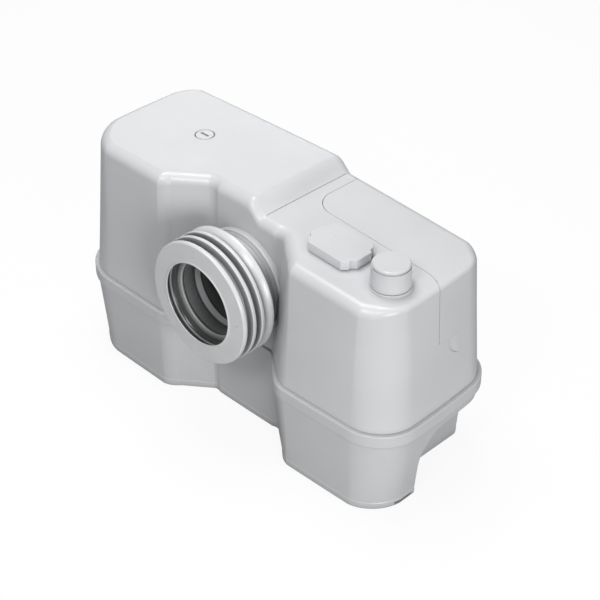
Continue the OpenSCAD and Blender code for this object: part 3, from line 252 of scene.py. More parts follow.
def rod(name, radius, low, high, place):
    return revolve(name, [(0, low), (radius, low), (radius, high), (0, high)], place, rod_segments)


def combine(piece, tools, operation):
    """Cuts the tools out of a piece, or joins or intersects them, and deletes the tools."""
    for tool in tools:
        step = piece.modifiers.new("step", "BOOLEAN")
        step.operation = operation
        step.solver = "MANIFOLD"
        step.object = tool
        bpy.context.view_layer.update()
        graph = bpy.context.evaluated_depsgraph_get()
        mesh = bpy.data.meshes.new_from_object(piece.evaluated_get(graph))
        piece.modifiers.clear()
        piece.data = mesh
        bpy.data.objects.remove(tool)


def smooth(piece, sharp_deg=38):
    """Smooth shading by face area, with edges sharper than the angle kept crisp."""
    mesh = piece.data
    mesh.polygons.foreach_set("use_smooth", [True] * len(mesh.polygons))
    mesh.set_sharp_from_angle(angle=math.radians(sharp_deg))
    normals = piece.modifiers.new("normals", "WEIGHTED_NORMAL")
    normals.keep_sharp = True
    return piece


def along_y(y, x=0.0, z=inlet_z):
    """A frame whose Z axis runs along +Y of the part."""
    return Matrix.Translation((x, y, z)) @ Matrix.Rotation(-math.pi / 2, 4, "X")


def upright(x, y):
    return Matrix.Translation((x, y, 0))


# Plan outline of the moulding, as in the solids but with finer steps


def corner(a, b, c, radius, steps):
    """Rounded corner at b: points with their outward normals."""
    d1 = (b - a).normalized()
    d2 = (c - b).normalized()
    m1 = Vector((d1.y, -d1.x))
    turn = math.atan2(d1.x * d2.y - d1.y * d2.x, d1.dot(d2))
    side = math.copysign(1, turn)
    centre = b - d1 * radius * math.tan(abs(turn) / 2) - m1 * side * radius
    first = math.atan2(m1.y, m1.x)
    result = []
    for i in range(steps + 1):
        w = first + turn * i / steps
        m = Vector((math.cos(w), math.sin(w)))
        p = centre + m * side * radius
        result.append((p.x, p.y, m.x, m.y))
    return result


def between(p, q, count):
    return [
        tuple(a + (b - a) * i / (count + 1) for a, b in zip(p, q))
        for i in range(1, count + 1)
    ]


def ease(t):
    t = max(0.0, min(1.0, t))
    return t * t * (3 - 2 * t)


def mix(a, b, t):
    return a + (b - a) * t


arc_steps = 20
notch_steps = 14
side_steps = 9
end_steps = 6
station_count = 26

left_mid = Vector((left_x - left_skew / 2, 0))
right_mid = Vector((right_x - right_skew / 2, 0))
front_left = Vector((left_x, front_y))
front_right = Vector((right_x, front_y))
back_left = Vector((left_x - left_skew, back_y))
back_right = Vector((right_x - right_skew, back_y))
notch_1 = Vector((-notch_w_out / 2, front_y))
notch_2 = Vector((-notch_w_in / 2, notch_y))
notch_3 = Vector((notch_w_in / 2, notch_y))
notch_4 = Vector((notch_w_out / 2, front_y))

arc_front_left = corner(left_mid, front_left, notch_1, front_left_r, arc_steps)
arc_front_right = corner(notch_4, front_right, right_mid, front_right_r, arc_steps)
arc_back_left = corner(back_right, back_left, left_mid, back_left_r, arc_steps)
arc_back_right = corner(right_mid, back_right, back_left, back_right_r, arc_steps)
arc_notch_1 = corner(front_left, notch_1, notch_2, notch_r_out, notch_steps)
arc_notch_2 = corner(notch_1, notch_2, notch_3, notch_r_in, notch_steps)
arc_notch_3 = corner(notch_2, notch_3, notch_4, notch_r_in, notch_steps)
arc_notch_4 = corner(notch_3, notch_4, front_right, notch_r_out, notch_steps)
stations = [
    (mix(step_x, step_end, i / station_count), notch_y, 0, -1) for i in range(station_count + 1)
]


def end_point(mid, towards):
    along = (towards - mid).normalized()
    outward = Vector((along.y, -along.x))
    if outward.x * mid.x < 0:
        outward = -outward
    return (mid.x, mid.y, outward.x, outward.y)


left_end = end_point(left_mid, front_left)
right_end = end_point(right_mid, front_right)

front_middle = (
    between(arc_front_left[-1], arc_notch_1[0], side_steps)
    + arc_notch_1
    + arc_notch_2
    + between(arc_notch_2[-1], stations[0], end_steps)
    + stations
    + between(stations[-1], arc_notch_3[0], end_steps)
    + arc_notch_3
    + arc_notch_4
    + between(arc_notch_4[-1], arc_front_right[0], side_steps)
)
front_chain = (
    [left_end]
    + between(left_end, arc_front_left[0], end_steps)
    + arc_front_left
    + front_middle
    + arc_front_right
    + between(arc_front_right[-1], right_end, end_steps)
    + [right_end]
)
back_chain = (
    between(right_end, arc_back_right[0], end_steps)
    + arc_back_right
    + [(p[0], back_y, 0, 1) for p in reversed(front_middle)]
    + arc_back_left
    + between(arc_back_left[-1], left_end, end_steps)
)


def bow(p):
    """Outward bow of the four sides, nothing at the corners."""
    along_x = crown * (1 - ((p[0] - mid_x) / (body_l / 2)) ** 2)
    across_y = crown * (1 - (p[1] / back_y) ** 2)
    return abs(p[3]) * along_x + abs(p[2]) * across_y


outline = [
    (p[0] + p[2] * bow(p), p[1] + p[3] * bow(p), p[2], p[3]) for p in front_chain + back_chain
]
chain_n = len(front_chain)
ring_n = len(outline)


def inset(p, d):
    return (p[0] - p[2] * d, p[1] - p[3] * d)


def low_top(x):
    return low_h - math.tan(low_slope) * (x - step_end)


def top_at(x):
    if x > step_end:
        return low_top(x)
    return mix(tall_h, low_h, ease((x - step_x) / step_run))


def lean(p, h):
    """Inward lean of the upper wall at a height above the rim."""
    face = front_draft if p[3] < 0 else back_draft
    return h * (abs(p[3]) * face + abs(p[2]) * end_draft)


def fillet_at(p):
    """Radius of the top edge, which narrows round the corners towards the right end."""
    turn = p[2] if p[0] > step_end else 0
    return mix(top_fillet, end_fillet, ease((turn - fillet_turn) / (1 - fillet_turn)))


def edge_ring(turn, depth):
    """One ring on the rounded top edge, for a skin that lies this deep."""
    ring = []
    for p in outline:
        fillet = fillet_at(p)
        r = fillet - depth
        z = top_at(p[0]) - fillet
        q = inset(p, lean(p, z - rim_z) + depth + r * (1 - math.cos(turn)))
        ring.append((q[0], q[1], top_at(q[0]) - fillet + r * math.sin(turn)))
    return ring


def wall_ring(z, d):
    return [(*inset(p, lean(p, z - rim_z) + d), z) for p in outline]


def loft(name, rings):
    """A closed solid through the rings, closed at both ends by strips between the two chains."""
    points = [p for ring in rings for p in ring]
    faces = bands(len(rings), ring_n)
    for start in (0, (len(rings) - 1) * ring_n):
        for i in range(chain_n - 1):
            strip = (i, i + 1, ring_n - i - 1, (ring_n - i) % ring_n)
            faces.append([start + k for k in dict.fromkeys(strip)])
    return add_piece(name, points, faces)


fillet_steps = 14
shell_edge = 0.5
wall_rings = 4
wall_rings_top = low_h - 60


def moulded_shell(name):
    """The whole upper moulding as one thin shell."""
    quarter = [math.pi / 2 * i / fillet_steps for i in range(fillet_steps + 1)]
    rings = [edge_ring(a, wall) for a in reversed(quarter[::2])]
    rings += [wall_ring(rim_z, wall), wall_ring(rim_z, shell_edge), wall_ring(rim_z + shell_edge, 0)]
    rings += [wall_ring(mix(rim_z, wall_rings_top, k / wall_rings), 0) for k in range(1, wall_rings + 1)]
    rings += [edge_ring(a, 0) for a in quarter]
    return loft(name, rings)


# Upper housing and its service cover

overcut = 1
cut_above = 100
cover_turn_steps = 24
sweep_in = 24
sweep_out = 4
sweep_fall = 2
sweep_r = 12
sweep_steps = 8


def cover_plan(gap):
    """Plan region of the service cover, shrunk by the clearance."""
    far = body_l
    rear = Vector((cover_x + gap, far))
    turn_at = Vector((cover_x + gap, cover_y + gap))
    sweep_from = Vector((right_x - sweep_in, cover_y + gap - sweep_fall))
    sweep_to = Vector((right_x - sweep_out, cover_y - cover_dip + gap))
    turn = [(p[0], p[1]) for p in corner(rear, turn_at, sweep_from, cover_r, cover_turn_steps)]
    path = [turn[-1], sweep_from, sweep_to, (far, sweep_to.y)]
    sweep = soften(path, sweep_r, sweep_steps, closed=False)
    return [tuple(rear)] + turn[:-1] + [tuple(p) for p in sweep] + [(far, far)]


def cover_region(gap):
    """The cover's region as a solid, with a quarter of the clearance at its lower edge."""
    levels = [(0, cover_z + gap / 4), (0, tall_h + cut_above)]
    return stack("cover_region", cover_plan(gap), levels, Matrix())


# Inlet seat
seat_depth = 11
collar_brim = 2
brim_edge = 1
bore_gap = 0.3

# Well and curb of the filter
well_l = filter_cap_l - 16
well_w = filter_cap_w - 14
well_d = 16
curb = 2
curb_h = 3

# Seat of the round cap
seat_r = outlet_cap_r + 1
seat_z = cap_low.z - lift_gap
seat_root = 12
seat_edge = 0.5
stub_r = half_width("outlet_stub")

# Boss and pocket of the screw
boss_wall = 4
boss_l = 14
head_t = 3.6
shank_r = 4
pocket_r = screw_r + lift_gap
pocket_bevel = 0.8
bevel_drop = 0.6

# Hole of the grommet
grommet_low, grommet_high = box_mm("cable_grommet")
grommet_mid = middle("cable_grommet")
grommet_r = half_width("cable_grommet")
grommet_groove = 3
grommet_reach = 9

# Finger recess on the right end and fine line on the low top
finger_r = 24
finger_reach = 9
finger_depth = 1.6
tool_h = 20
line_x = step_end - 2
line_w = 0.6
line_d = 0.4

on_filter = Matrix.Translation((filter_x, filter_y, low_top(filter_x))) @ Matrix.Rotation(low_slope, 4, "Y")
on_screw = upright(*middle("cover_screw").xy)
on_outlet = upright(*middle("outlet_cap").xy)


def end_wall_x(y, z):
    """Place of the right end's outside, from its skew, bow and draft."""
    skew = right_skew * (y - front_y) / body_w
    return right_x - skew + crown * (1 - (y / back_y) ** 2) - end_draft * (z - rim_z)


def finger_tool():
    """A disc whose floor slants out of the end wall, so that its edge fades towards the back."""
    deep = end_wall_x(cover_y, cover_z) - finger_depth
    rise = (end_wall_x(cover_y + finger_reach, cover_z) - deep) / finger_reach
    place = Matrix.Translation((deep + rise * finger_r, cover_y + finger_r, cover_z))
    turn = Matrix.Rotation(-math.atan(rise), 4, "Z") @ Matrix.Rotation(math.pi / 2, 4, "Y")
    return rod("finger", finger_r, 0, tool_h, place @ turn)


def line_tool():
    """A thin block that cuts the fine line at the foot of the step."""
    place = (line_x + line_w / 2, notch_y + body_w / 2, low_top(line_x) - line_d + tool_h / 2)
    return block("top_line", (line_w, body_w, tool_h), Matrix.Translation(place))


def housing_adds():
    """Seats, boss and curb that stand on the shell."""
    brim_r = collar_r + collar_brim
    inlet = [(0, 0), (brim_r - brim_edge, 0), (brim_r, brim_edge), (brim_r, seat_depth), (0, seat_depth)]
    foot = seat_z - seat_root
    outlet = [(0, foot), (seat_r, foot), (seat_r, seat_z - seat_edge)]
    outlet += [(seat_r - seat_edge, seat_z), (0, seat_z)]
    return [
        revolve("inlet_seat", inlet, along_y(seat_face_y)),
        revolve("outlet_seat", outlet, on_outlet),
        rod("screw_boss", screw_r + boss_wall, tall_h - boss_l, tall_h - wall / 2, on_screw),
        block(
            "filter_curb",
            (well_l + 2 * curb, well_w + 2 * curb, well_d + curb + curb_h),
            on_filter @ Matrix.Translation((0, 0, (curb_h - well_d - curb) / 2)),
        ),
    ]


def housing_cuts():
    """Holes, pockets and lines that are cut into the shell."""
    over = 2 * overcut
    pocket_floor = tall_h - head_t
    bevel_from = tall_h - bevel_drop
    bevel_r = pocket_r + pocket_bevel
    pocket = [(0, pocket_floor), (pocket_r, pocket_floor), (pocket_r, bevel_from)]
    pocket += [(bevel_r, bevel_from + pocket_bevel), (bevel_r, tall_h + over), (0, tall_h + over)]
    on_grommet = along_y(back_y, grommet_mid.x, grommet_mid.z)
    return [
        rod("inlet_hole", pipe_r + bore_gap, -overcut, seat_depth + overcut, along_y(seat_face_y)),
        rod("collar_room", collar_r + bore_gap, -notch_d, 0, along_y(seat_face_y)),
        rod("outlet_hole", stub_r + bore_gap, seat_z - seat_root - over, seat_z + over, on_outlet),
        revolve("screw_pocket", pocket, on_screw),
        rod("screw_hole", shank_r + lift_gap, tall_h - boss_l - over, tall_h, on_screw),
        block(
            "filter_well",
            (well_l, well_w, well_d + curb_h + over),
            on_filter @ Matrix.Translation((0, 0, (curb_h + over - well_d) / 2)),
        ),
        finger_tool(),
        rod("grommet_hole", grommet_r - grommet_groove, -grommet_reach, grommet_reach, on_grommet),
        line_tool(),
    ]


def build_housing():
    piece = moulded_shell("housing_shell")
    combine(piece, [cover_region(0)], "DIFFERENCE")
    combine(piece, housing_adds(), "UNION")
    combine(piece, housing_cuts(), "DIFFERENCE")
    return smooth(piece)


def build_cover():
    piece = moulded_shell("service_cover_shell")
    combine(piece, [cover_region(lift_gap)], "INTERSECT")
    return smooth(piece)


# Lower tank

band_z = rim_z - rim_h
base_edge = 2.4
base_lead = 0.3
base_ease = 0.15
side_rings = 6
band_edge = 1.2
band_edge_steps = 4

# Hollow inside the tank, with a ledge below its rim
floor_t = 3.5
hollow_turn = 10
hollow_rise = 2
ledge_w = 4.5
ledge_z = rim_z - 9
ledge_edge = 0.1

# Arched recess at the rear of the right end and slot at its foot
cut_below = 5
arch_steps = 32
recess_room_x = 60
recess_room_y = 140
slot_l = 22
slot_h = 3
slot_d = 9
slot_margin = 4
slot_room = 40

# Pads below the tank
pad_low, pad_high = box_mm("foot_pads")
pad_r = 9
pad_gap = 0.3
pad_edge = 0.6
pad_segments = 48
pad_places = [
    (x, y)
    for x in (pad_low.x + pad_r, pad_high.x - pad_r)
    for y in (pad_low.y + pad_r, pad_high.y - pad_r)
]


def tank_wall(p, z):
    """Distance of the tank wall inside the upper wall at a height."""
    drop = max(0, band_z - z)
    face = tank_front_draft if p[3] < 0 else tank_back_draft
    return abs(p[3]) * (drop * face - tank_proud) + abs(p[2]) * (drop * tank_end_draft - tank_proud / 2)


def tank_ring(z, d):
    return [(*inset(p, tank_wall(p, z) + d), z) for p in outline]


def notch_fade(p):
    """Nothing inside the front notch, one outside it."""
    if p[1] > 0:
        return 1
    return ease((abs(p[0]) - notch_w_in / 2) / notch_fade_l)


def rim_ring(z, d):
    """One ring of the rim band, which stands out less inside the front notch."""
    return [(*inset(p, d - mix(tank_proud, rim_proud, notch_fade(p))), z) for p in outline]


def rim_foot(z, d):
    """One ring of the band's lower edge, which fades out inside the front notch."""
    return [(*inset(p, mix(-tank_proud, d - rim_proud, notch_fade(p))), z) for p in outline]


def rounded_edge(ring, z, radius, turn_from, turn_to, steps=5):
    """Rings along a quarter round: the angle runs from below (-90) through the wall (0) to above (90)."""
    rings = []
    for k in range(steps + 1):
        a = math.radians(mix(turn_from, turn_to, k / steps))
        rings.append(ring(z + radius * math.sin(a), radius * (1 - math.cos(a))))
    return rings


def recess_tool():
    """The arched recess at the rear of the right end, as a prism along X."""
    reach = body_w
    turns = [math.pi / 2 * k / arch_steps for k in range(arch_steps + 1)]
    arch = [
        (recess_y + recess_r * (1 - math.cos(a)), recess_h - recess_r * (1 - math.sin(a)))
        for a in turns
    ]
    rear = recess_y + reach
    plan = [(recess_y, -cut_below)] + arch + [(rear, recess_h), (rear, -cut_below)]
    place = Matrix(((0, 0, 1, recess_x), (1, 0, 0, 0), (0, 1, 0, 0), (0, 0, 0, 1)))
    return stack("recess", plan, [(0, 0), (0, reach)], place)


def tank_outside():
    """The closed outer form: rounded base, base step, drafted sides and rim band."""
    rings = rounded_edge(tank_ring, base_edge, base_edge, -90, 0)
    rings += [tank_ring(base_step_h - base_lead, 0), tank_ring(base_step_h, base_ease)]
    rings += [tank_ring(base_step_h + base_step_d, base_step_d)]
    for k in range(1, side_rings):
        t = k / side_rings
        rings.append(tank_ring(mix(base_step_h, band_z, t), base_step_d * (1 - t)))
    rings += [tank_ring(band_z - band_edge, 0)]
    rings += rounded_edge(rim_foot, band_z + band_edge, band_edge, -90, 0, band_edge_steps)
    rings += rounded_edge(rim_ring, rim_z - band_edge, band_edge, 0, 90, band_edge_steps)
    return loft("tank_shell", rings)


def tank_hollow(slot_x, slot_y):
    """The room inside, which leaves a wall round the recess and round the slot."""
    hollow = loft("tank_hollow", [
        tank_ring(floor_t, wall + base_edge),
        tank_ring(floor_t + base_edge, wall + base_step_d),
        tank_ring(band_z - hollow_turn, wall + base_step_d),
        wall_ring(band_z - hollow_rise, wall + ledge_w),
        wall_ring(ledge_z, wall + ledge_w),
        wall_ring(ledge_z + ledge_edge, wall),
        wall_ring(rim_z + 2 * overcut, wall),
    ])
    recess_size = (recess_room_x, recess_room_y, recess_h + wall + cut_below)
    recess_mid_x = recess_x - wall + recess_room_x / 2
    recess_mid_y = recess_y - wall + recess_room_y / 2
    recess_place = Matrix.Translation((recess_mid_x, recess_mid_y, (recess_h + wall - cut_below) / 2))
    pocket_h = base_edge + slot_h + wall
    pocket_size = (slot_room, slot_l + 2 * wall, pocket_h)
    pocket_place = Matrix.Translation((slot_x - wall + slot_room / 2, slot_y, pocket_h / 2))
    recess = block("inner_recess", recess_size, recess_place)
    pocket = block("slot_pocket", pocket_size, pocket_place)
    combine(hollow, [recess, pocket], "DIFFERENCE")
    return hollow


def build_tank():
    piece = tank_outside()
    slot_x = right_x - tank_end_draft * band_z - slot_d
    slot_y = recess_y - slot_margin - slot_l / 2
    slot_place = Matrix.Translation((slot_x + slot_room / 2, slot_y, base_edge + slot_h / 2))
    hollow = tank_hollow(slot_x, slot_y)
    slot = block("slot", (slot_room, slot_l, slot_h), slot_place)
    pads = [rod("pad_seat", pad_r + pad_gap, -overcut, pad_high.z, upright(x, y)) for x, y in pad_places]
    combine(piece, [recess_tool(), hollow, slot] + pads, "DIFFERENCE")
    return smooth(piece)


# Inlet sleeve and elbow

lip_r = 41.7
flange_r = sleeve_r - 1
flange_back = 6.8
groove_r = flange_r - 8
neck_r = collar_r - 0.5
mouth_r = lip_r + 6
mouth_u = 4.6
guide_r = mouth_r - 2.6
guide_u = 8.2
seal_r = lip_r - 3.1
seal_u = 15.6
grip_r = pipe_r + 0.05
stop_r = pipe_bore_r - 0.5
stop_w = 1
rib_w = 4
rib_places = [(13.5, flange_r + 0.5), (23.4, flange_r + 1)]
band_u = 30
band_w = 8.5
band_foot_r = groove_r + 3
band_curve = 1.6
band_back = 1.2
band_steps = 20
neck_ring_places = (43.5, 47.5)
spigot_l = 22
spigot_gap = 0.5
outside_soft = 1.2
inside_soft = 0.7
sleeve_segments = 160

# Parts of the sleeve's profile: each point is how far it lies beyond a radius and behind a depth
mouth_bead = [(0, 0.6), (0.3, 0.1), (1.2, 0), (1.8, 0.7), (2.4, 0.9)]
flange_edge = [(-0.9, 1.8), (0, 3.2), (0, 6), (-0.8, flange_back)]
neck_bead = [(0, 0), (0.6, 0.4), (0.6, 1.2), (0, 1.6)]
seal_lip = [(0.8, 3.2), (0, 1.4), (0, 0), (2.4, -0.7), (5.9, -2)]
seal_root = [(-1, -3.6), (0, -5)]
guide_crest = [(0, 0.7), (0, -0.7)]
guide_foot_back = 1.6
guide_foot_front = 2.4
lip_back = [(1.2, 1.6), (0, 1), (0, 0.6)]


def profile_at(radius, depth, shape):
    return [(radius + beyond, depth + behind_it) for beyond, behind_it in shape]


def rib(u, r):
    return [(groove_r, u), (r, u), (r, u + rib_w), (groove_r, u + rib_w)]


def build_sleeve():
    """A profile of radius and depth behind the front: the mouth, the ribs, the rear band and the inside."""
    front = profile_at(lip_r, 0, mouth_bead) + profile_at(flange_r, 0, flange_edge)
    front += [(groove_r, flange_back)]
    for u, r in rib_places:
        front += rib(u, r)
    front += [(groove_r, band_u), (band_foot_r, band_u)]
    outside = soften(front, outside_soft, closed=False)
    band = []
    for k in range(1, band_steps + 1):
        t = k / band_steps
        band.append((mix(band_foot_r, sleeve_r, 1 - (1 - t) ** band_curve), band_u + band_w * t))
    band_end = band_u + band_w + band_back
    back = [band[-1], (sleeve_r - band_back, band_end), (neck_r, band_end)]
    for u in neck_ring_places:
        back += profile_at(neck_r, u, neck_bead)
    tail = sleeve_l - spigot_l - spigot_gap
    back += [(neck_r, sleeve_l), (grip_r, sleeve_l), (grip_r, tail)]
    back += [(stop_r, tail), (stop_r, tail - stop_w)]
    back += profile_at(seal_r, seal_u, seal_lip) + profile_at(mouth_r, seal_u, seal_root)
    back += [(mouth_r, guide_u + guide_foot_back)] + profile_at(guide_r, guide_u, guide_crest)
    back += [(mouth_r, guide_u - guide_foot_front), (mouth_r, mouth_u)] + profile_at(lip_r, 0, lip_back)
    inside = soften(back, inside_soft, 4, closed=False)
    profile = [tuple(p) for p in outside] + band + [tuple(p) for p in inside[1:-1]]
    return smooth(revolve("inlet_sleeve_rubber", profile, along_y(sleeve_front_y), sleeve_segments))


bend_steps = 20
pipe_end = 1.2
pipe_bevel = 0.8
collar_edge = 0.8
collar_clear = 0.1
bore_step = 1.6
bore_step_y = sleeve_front_y + 38.3


def build_elbow():
    """The bent inlet pipe with its collar: rings along the outside, then back along the inside."""
    start_y = elbow_low.y
    collar_y = seat_face_y - collar_t
    collar_back = collar_y + collar_t - collar_clear
    drop_y = elbow_high.y - pipe_r
    bend_y = drop_y - elbow_r
    bend_z = inlet_z - elbow_r
    end_z = elbow_low.z
    wide_r = pipe_bore_r + bore_step
    turns = [math.pi / 2 * k / bend_steps for k in range(bend_steps + 1)]
    bend = [(bend_y + elbow_r * math.sin(a), bend_z + elbow_r * math.cos(a), a) for a in turns]

    def straight(y, r):
        return (y, inlet_z, 0.0, r)

    rows = [straight(start_y + pipe_end, pipe_r), straight(collar_y, pipe_r)]
    rows += [straight(collar_y, collar_r - collar_edge), straight(collar_y + collar_edge, collar_r)]
    rows += [straight(collar_back, collar_r), straight(collar_back, pipe_r)]
    rows += [(y, z, a, pipe_r) for y, z, a in bend] + [(drop_y, end_z, math.pi / 2, pipe_r)]
    rows += [(drop_y, end_z, math.pi / 2, wide_r)] + [(y, z, a, wide_r) for y, z, a in reversed(bend)]
    rows += [straight(bore_step_y, wide_r), straight(bore_step_y, pipe_bore_r)]
    rows += [straight(start_y + pipe_end, pipe_bore_r)]
    rows += [straight(start_y + pipe_bevel, pipe_bore_r + pipe_bevel)]
    side = Vector((1, 0, 0))
    points = []
    for y, z, a, r in rows:
        up = Vector((0, math.sin(a), math.cos(a)))
        for k in range(rod_segments):
            turn = 2 * math.pi * k / rod_segments
            points.append(Vector((0, y, z)) + r * (math.cos(turn) * side + math.sin(turn) * up))
    return smooth(add_piece("inlet_elbow_pipe", points, bands(len(rows), rod_segments, loop=True)))


# Caps, screw and small pieces

tab_tip = 18.4
tab_root = 24
tab_proud = 4
cap_chamfer = 5
plan_soft = 0.5
lid_edge = 0.7
lid_edge_steps = 5
lid_foot = 0.4
lid_rim = 0.3
lid_skin = 2


def build_filter_cap():
    half_l = filter_cap_l / 2
    half_w = filter_cap_w / 2
    neck = half_l - tab_proud
    side = [(half_l, tab_tip / 2), (neck, tab_root / 2)]
    side += [(neck, half_w - cap_chamfer), (neck - cap_chamfer, half_w)]
    plan = [(x, -y) for x, y in reversed(side)] + side
    plan = plan + [(-x, -y) for x, y in plan]
    outline_plan = [tuple(p) for p in soften(plan, plan_soft, 4)]
    edge_z = filter_cap_h - lid_edge
    levels = [(lid_foot, lift_gap), (0, lift_gap + lid_foot), (0, edge_z)]
    for k in range(1, lid_edge_steps + 1):
        a = math.pi / 2 * k / lid_edge_steps
        levels.append((lid_edge * (1 - math.cos(a)), edge_z + lid_edge * math.sin(a)))
    levels.append((lid_edge + lid_rim, filter_cap_h))
    piece = stack("filter_cap_lid", outline_plan, levels, on_filter)
    room = 2 * (curb + lift_gap)
    inside = block("inside", (well_l + room, well_w + room, 2 * (filter_cap_h - lid_skin)), on_filter)
    combine(piece, [inside], "DIFFERENCE")
    return smooth(piece)


# Crown of the round cap with the groove below it: each point lies inside the radius and below the top
cap_crown = [(0.6, 4.1), (2.2, 3.9), (2.2, 2.7), (1.1, 2.4), (1.2, 1.2), (2.2, 0), (2.8, 0)]
cap_soft = 0.3


def build_outlet_cap():
    low = cap_low.z
    top = cap_high.z
    inner = stub_r + lift_gap
    inner_top = box_mm("outlet_stub")[1].z + lift_gap
    shape = [(inner, low), (outlet_cap_r, low)]
    shape += [(outlet_cap_r - inwards, top - down) for inwards, down in cap_crown] + [(0, top)]
    outside = soften(shape, cap_soft, 4, closed=False)
    profile = [tuple(p) for p in outside] + [(0, inner_top), (inner, inner_top)]
    return smooth(revolve("outlet_cap_lid", profile, on_outlet))


head_gap = 0.4
head_edge = 0.6
tip_r = 3.2
tip_l = 1
head_slot_share = 0.6
head_slot_w = 2.6
head_slot_d = 3


def build_screw():
    low, high = box_mm("cover_screw")
    head_r = screw_r - head_gap
    seat = tall_h - head_t + lift_gap
    shape = [(0, low.z), (tip_r, low.z), (shank_r, low.z + tip_l), (shank_r, seat), (head_r, seat)]
    shape += [(head_r, high.z - head_edge), (head_r - head_edge, high.z), (0, high.z)]
    piece = revolve("cover_screw_head", shape, on_screw, rod_segments)
    slot_size = (2 * head_r * head_slot_share, head_slot_w, 2 * head_slot_d)
    slot = block("slot", slot_size, on_screw @ Matrix.Translation((0, 0, high.z)))
    combine(piece, [slot], "DIFFERENCE")
    return smooth(piece)


grommet_bore = 4
grommet_lip = 2.5
grommet_fit = 0.05
grommet_dome = 2
grommet_edge_in = 0.4
grommet_edge_down = 0.6
grommet_segments = 72
grommet_soft = 0.8


def build_grommet():
    r = grommet_r
    waist = r - grommet_groove - grommet_fit
    length = grommet_high.y - grommet_low.y
    rear_lip = length - grommet_lip
    shape = [(grommet_bore, 0), (r, 0), (r, grommet_lip), (waist, grommet_lip), (waist, rear_lip)]
    shape += [(r, rear_lip), (r - grommet_edge_in, length - grommet_edge_down)]
    shape += [(grommet_bore + grommet_dome, length), (grommet_bore, length)]
    profile = [tuple(p) for p in soften(shape, grommet_soft, 4)]
    place = along_y(grommet_low.y, grommet_mid.x, grommet_mid.z)
    return smooth(revolve("cable_grommet_ring", profile, place, grommet_segments))


def build_pads():
    shape = [(0, 0), (pad_r - pad_edge, 0), (pad_r, pad_edge), (pad_r, pad_high.z), (0, pad_high.z)]
    piece, *others = [revolve("foot_pad", shape, upright(x, y), pad_segments) for x, y in pad_places]
    combine(piece, others, "UNION")
    piece.name = "foot_pad_set"
    return smooth(piece)


# Materials: each has its own grain, tone and roughness from noise

# Scales of the noises, in cells per metre
flow_scale = 11
bloom_scale = 38
sink_scale = 45
dust_scale = 60
wave_scale = 70
polish_scale = 120
wipe_scale = 160
speck_scale = 900
skin_scale = 1100
spark_scale = 1500

# Depths of the bumps, in millimetres
sink_depth = 0.05
spark_depth = 0.002

# Dust lies up to this height in metres
dust_height = 0.07
crease_samples = 16


def shade(colour, factor):
    return tuple(c * factor for c in colour)


dust_colour = shade((0.95, 0.93, 0.9), 0.55)


class Surface:
    """A node material that is built step by step round one Principled shader."""

    def __init__(self, name, metallic=0.0, specular=0.5):
        self.material = bpy.data.materials.new(name)
        self.material.use_nodes = True
        self.tree = self.material.node_tree
        self.link = self.tree.links.new
        self.shader = self.tree.nodes["Principled BSDF"]
        self.shader.inputs["Metallic"].default_value = metallic
        self.shader.inputs["Specular IOR Level"].default_value = specular
        self.place = self.tree.nodes.new("ShaderNodeTexCoord").outputs["Object"]

    def node(self, kind, settings=None, **links):
        node = self.tree.nodes.new(kind)
        for key, value in (settings or {}).items():
            if hasattr(node, key):
                setattr(node, key, value)
            else:
                node.inputs[key].default_value = value
        for key, source in links.items():
            self.link(source, node.inputs[key.replace("_", " ")])
        return node

    def noise(self, scale, detail=3.0, stretch=None):
        place = self.place
        if stretch:
            place = self.node("ShaderNodeMapping", {"Scale": stretch}, Vector=place).outputs[0]
        settings = {"Scale": scale, "Detail": detail}
        return self.node("ShaderNodeTexNoise", settings, Vector=place).outputs["Fac"]

    def between(self, value, low, high, from_low=0.3, from_high=0.7):
        settings = {"From Min": from_low, "From Max": from_high, "To Min": low, "To Max": high}
        return self.node("ShaderNodeMapRange", settings, Value=value).outputs[0]

    def tone(self, value, dark, light, from_low=0.35, from_high=0.65):
        ramp = self.node("ShaderNodeValToRGB", Fac=value)
        ramp.color_ramp.elements[0].position = from_low
        ramp.color_ramp.elements[0].color = (*dark, 1)
        ramp.color_ramp.elements[1].position = from_high
        ramp.color_ramp.elements[1].color = (*light, 1)
        return ramp.outputs["Color"]

    def mottle(self, scale, detail, colour, low, high):
        """A colour that wanders between two shades of itself."""
        return self.tone(self.noise(scale, detail), shade(colour, low), shade(colour, high))

    def blend(self, factor, a, b):
        node = self.tree.nodes.new("ShaderNodeMix")
        node.data_type = "RGBA"
        self.link(factor, node.inputs[0])
        for socket, value in ((node.inputs[6], a), (node.inputs[7], b)):
            if isinstance(value, tuple):
                socket.default_value = (*value, 1)
            else:
                self.link(value, socket)
        return node.outputs[2]

    def times(self, a, b):
        node = self.node("ShaderNodeMath", {"operation": "MULTIPLY"})
        self.link(a, node.inputs[0])
        self.link(b, node.inputs[1])
        return node.outputs[0]

    def painted_crease_shade(self, reach, most, shut=0.25, clear=0.95):
        """Painted shade that darkens grooves and corners from ambient occlusion, from nothing in the open to the
        most in a crease.
        """
        settings = {"Distance": reach * MM, "samples": crease_samples}
        node = self.node("ShaderNodeAmbientOcclusion", settings)
        return self.between(node.outputs["AO"], most, 0.0, shut, clear)

    def colour(self, source):
        self.link(source, self.shader.inputs["Base Color"])

    def roughen(self, source):
        self.link(source, self.shader.inputs["Roughness"])

    def bump(self, *heights):
        """Each height is (source, depth in millimetres)."""
        normal = None
        for source, depth in heights:
            node = self.node("ShaderNodeBump", {"Strength": 1.0, "Distance": depth * MM}, Height=source)
            if normal:
                self.link(normal, node.inputs["Normal"])
            normal = node.outputs[0]
        self.link(normal, self.shader.inputs["Normal"])


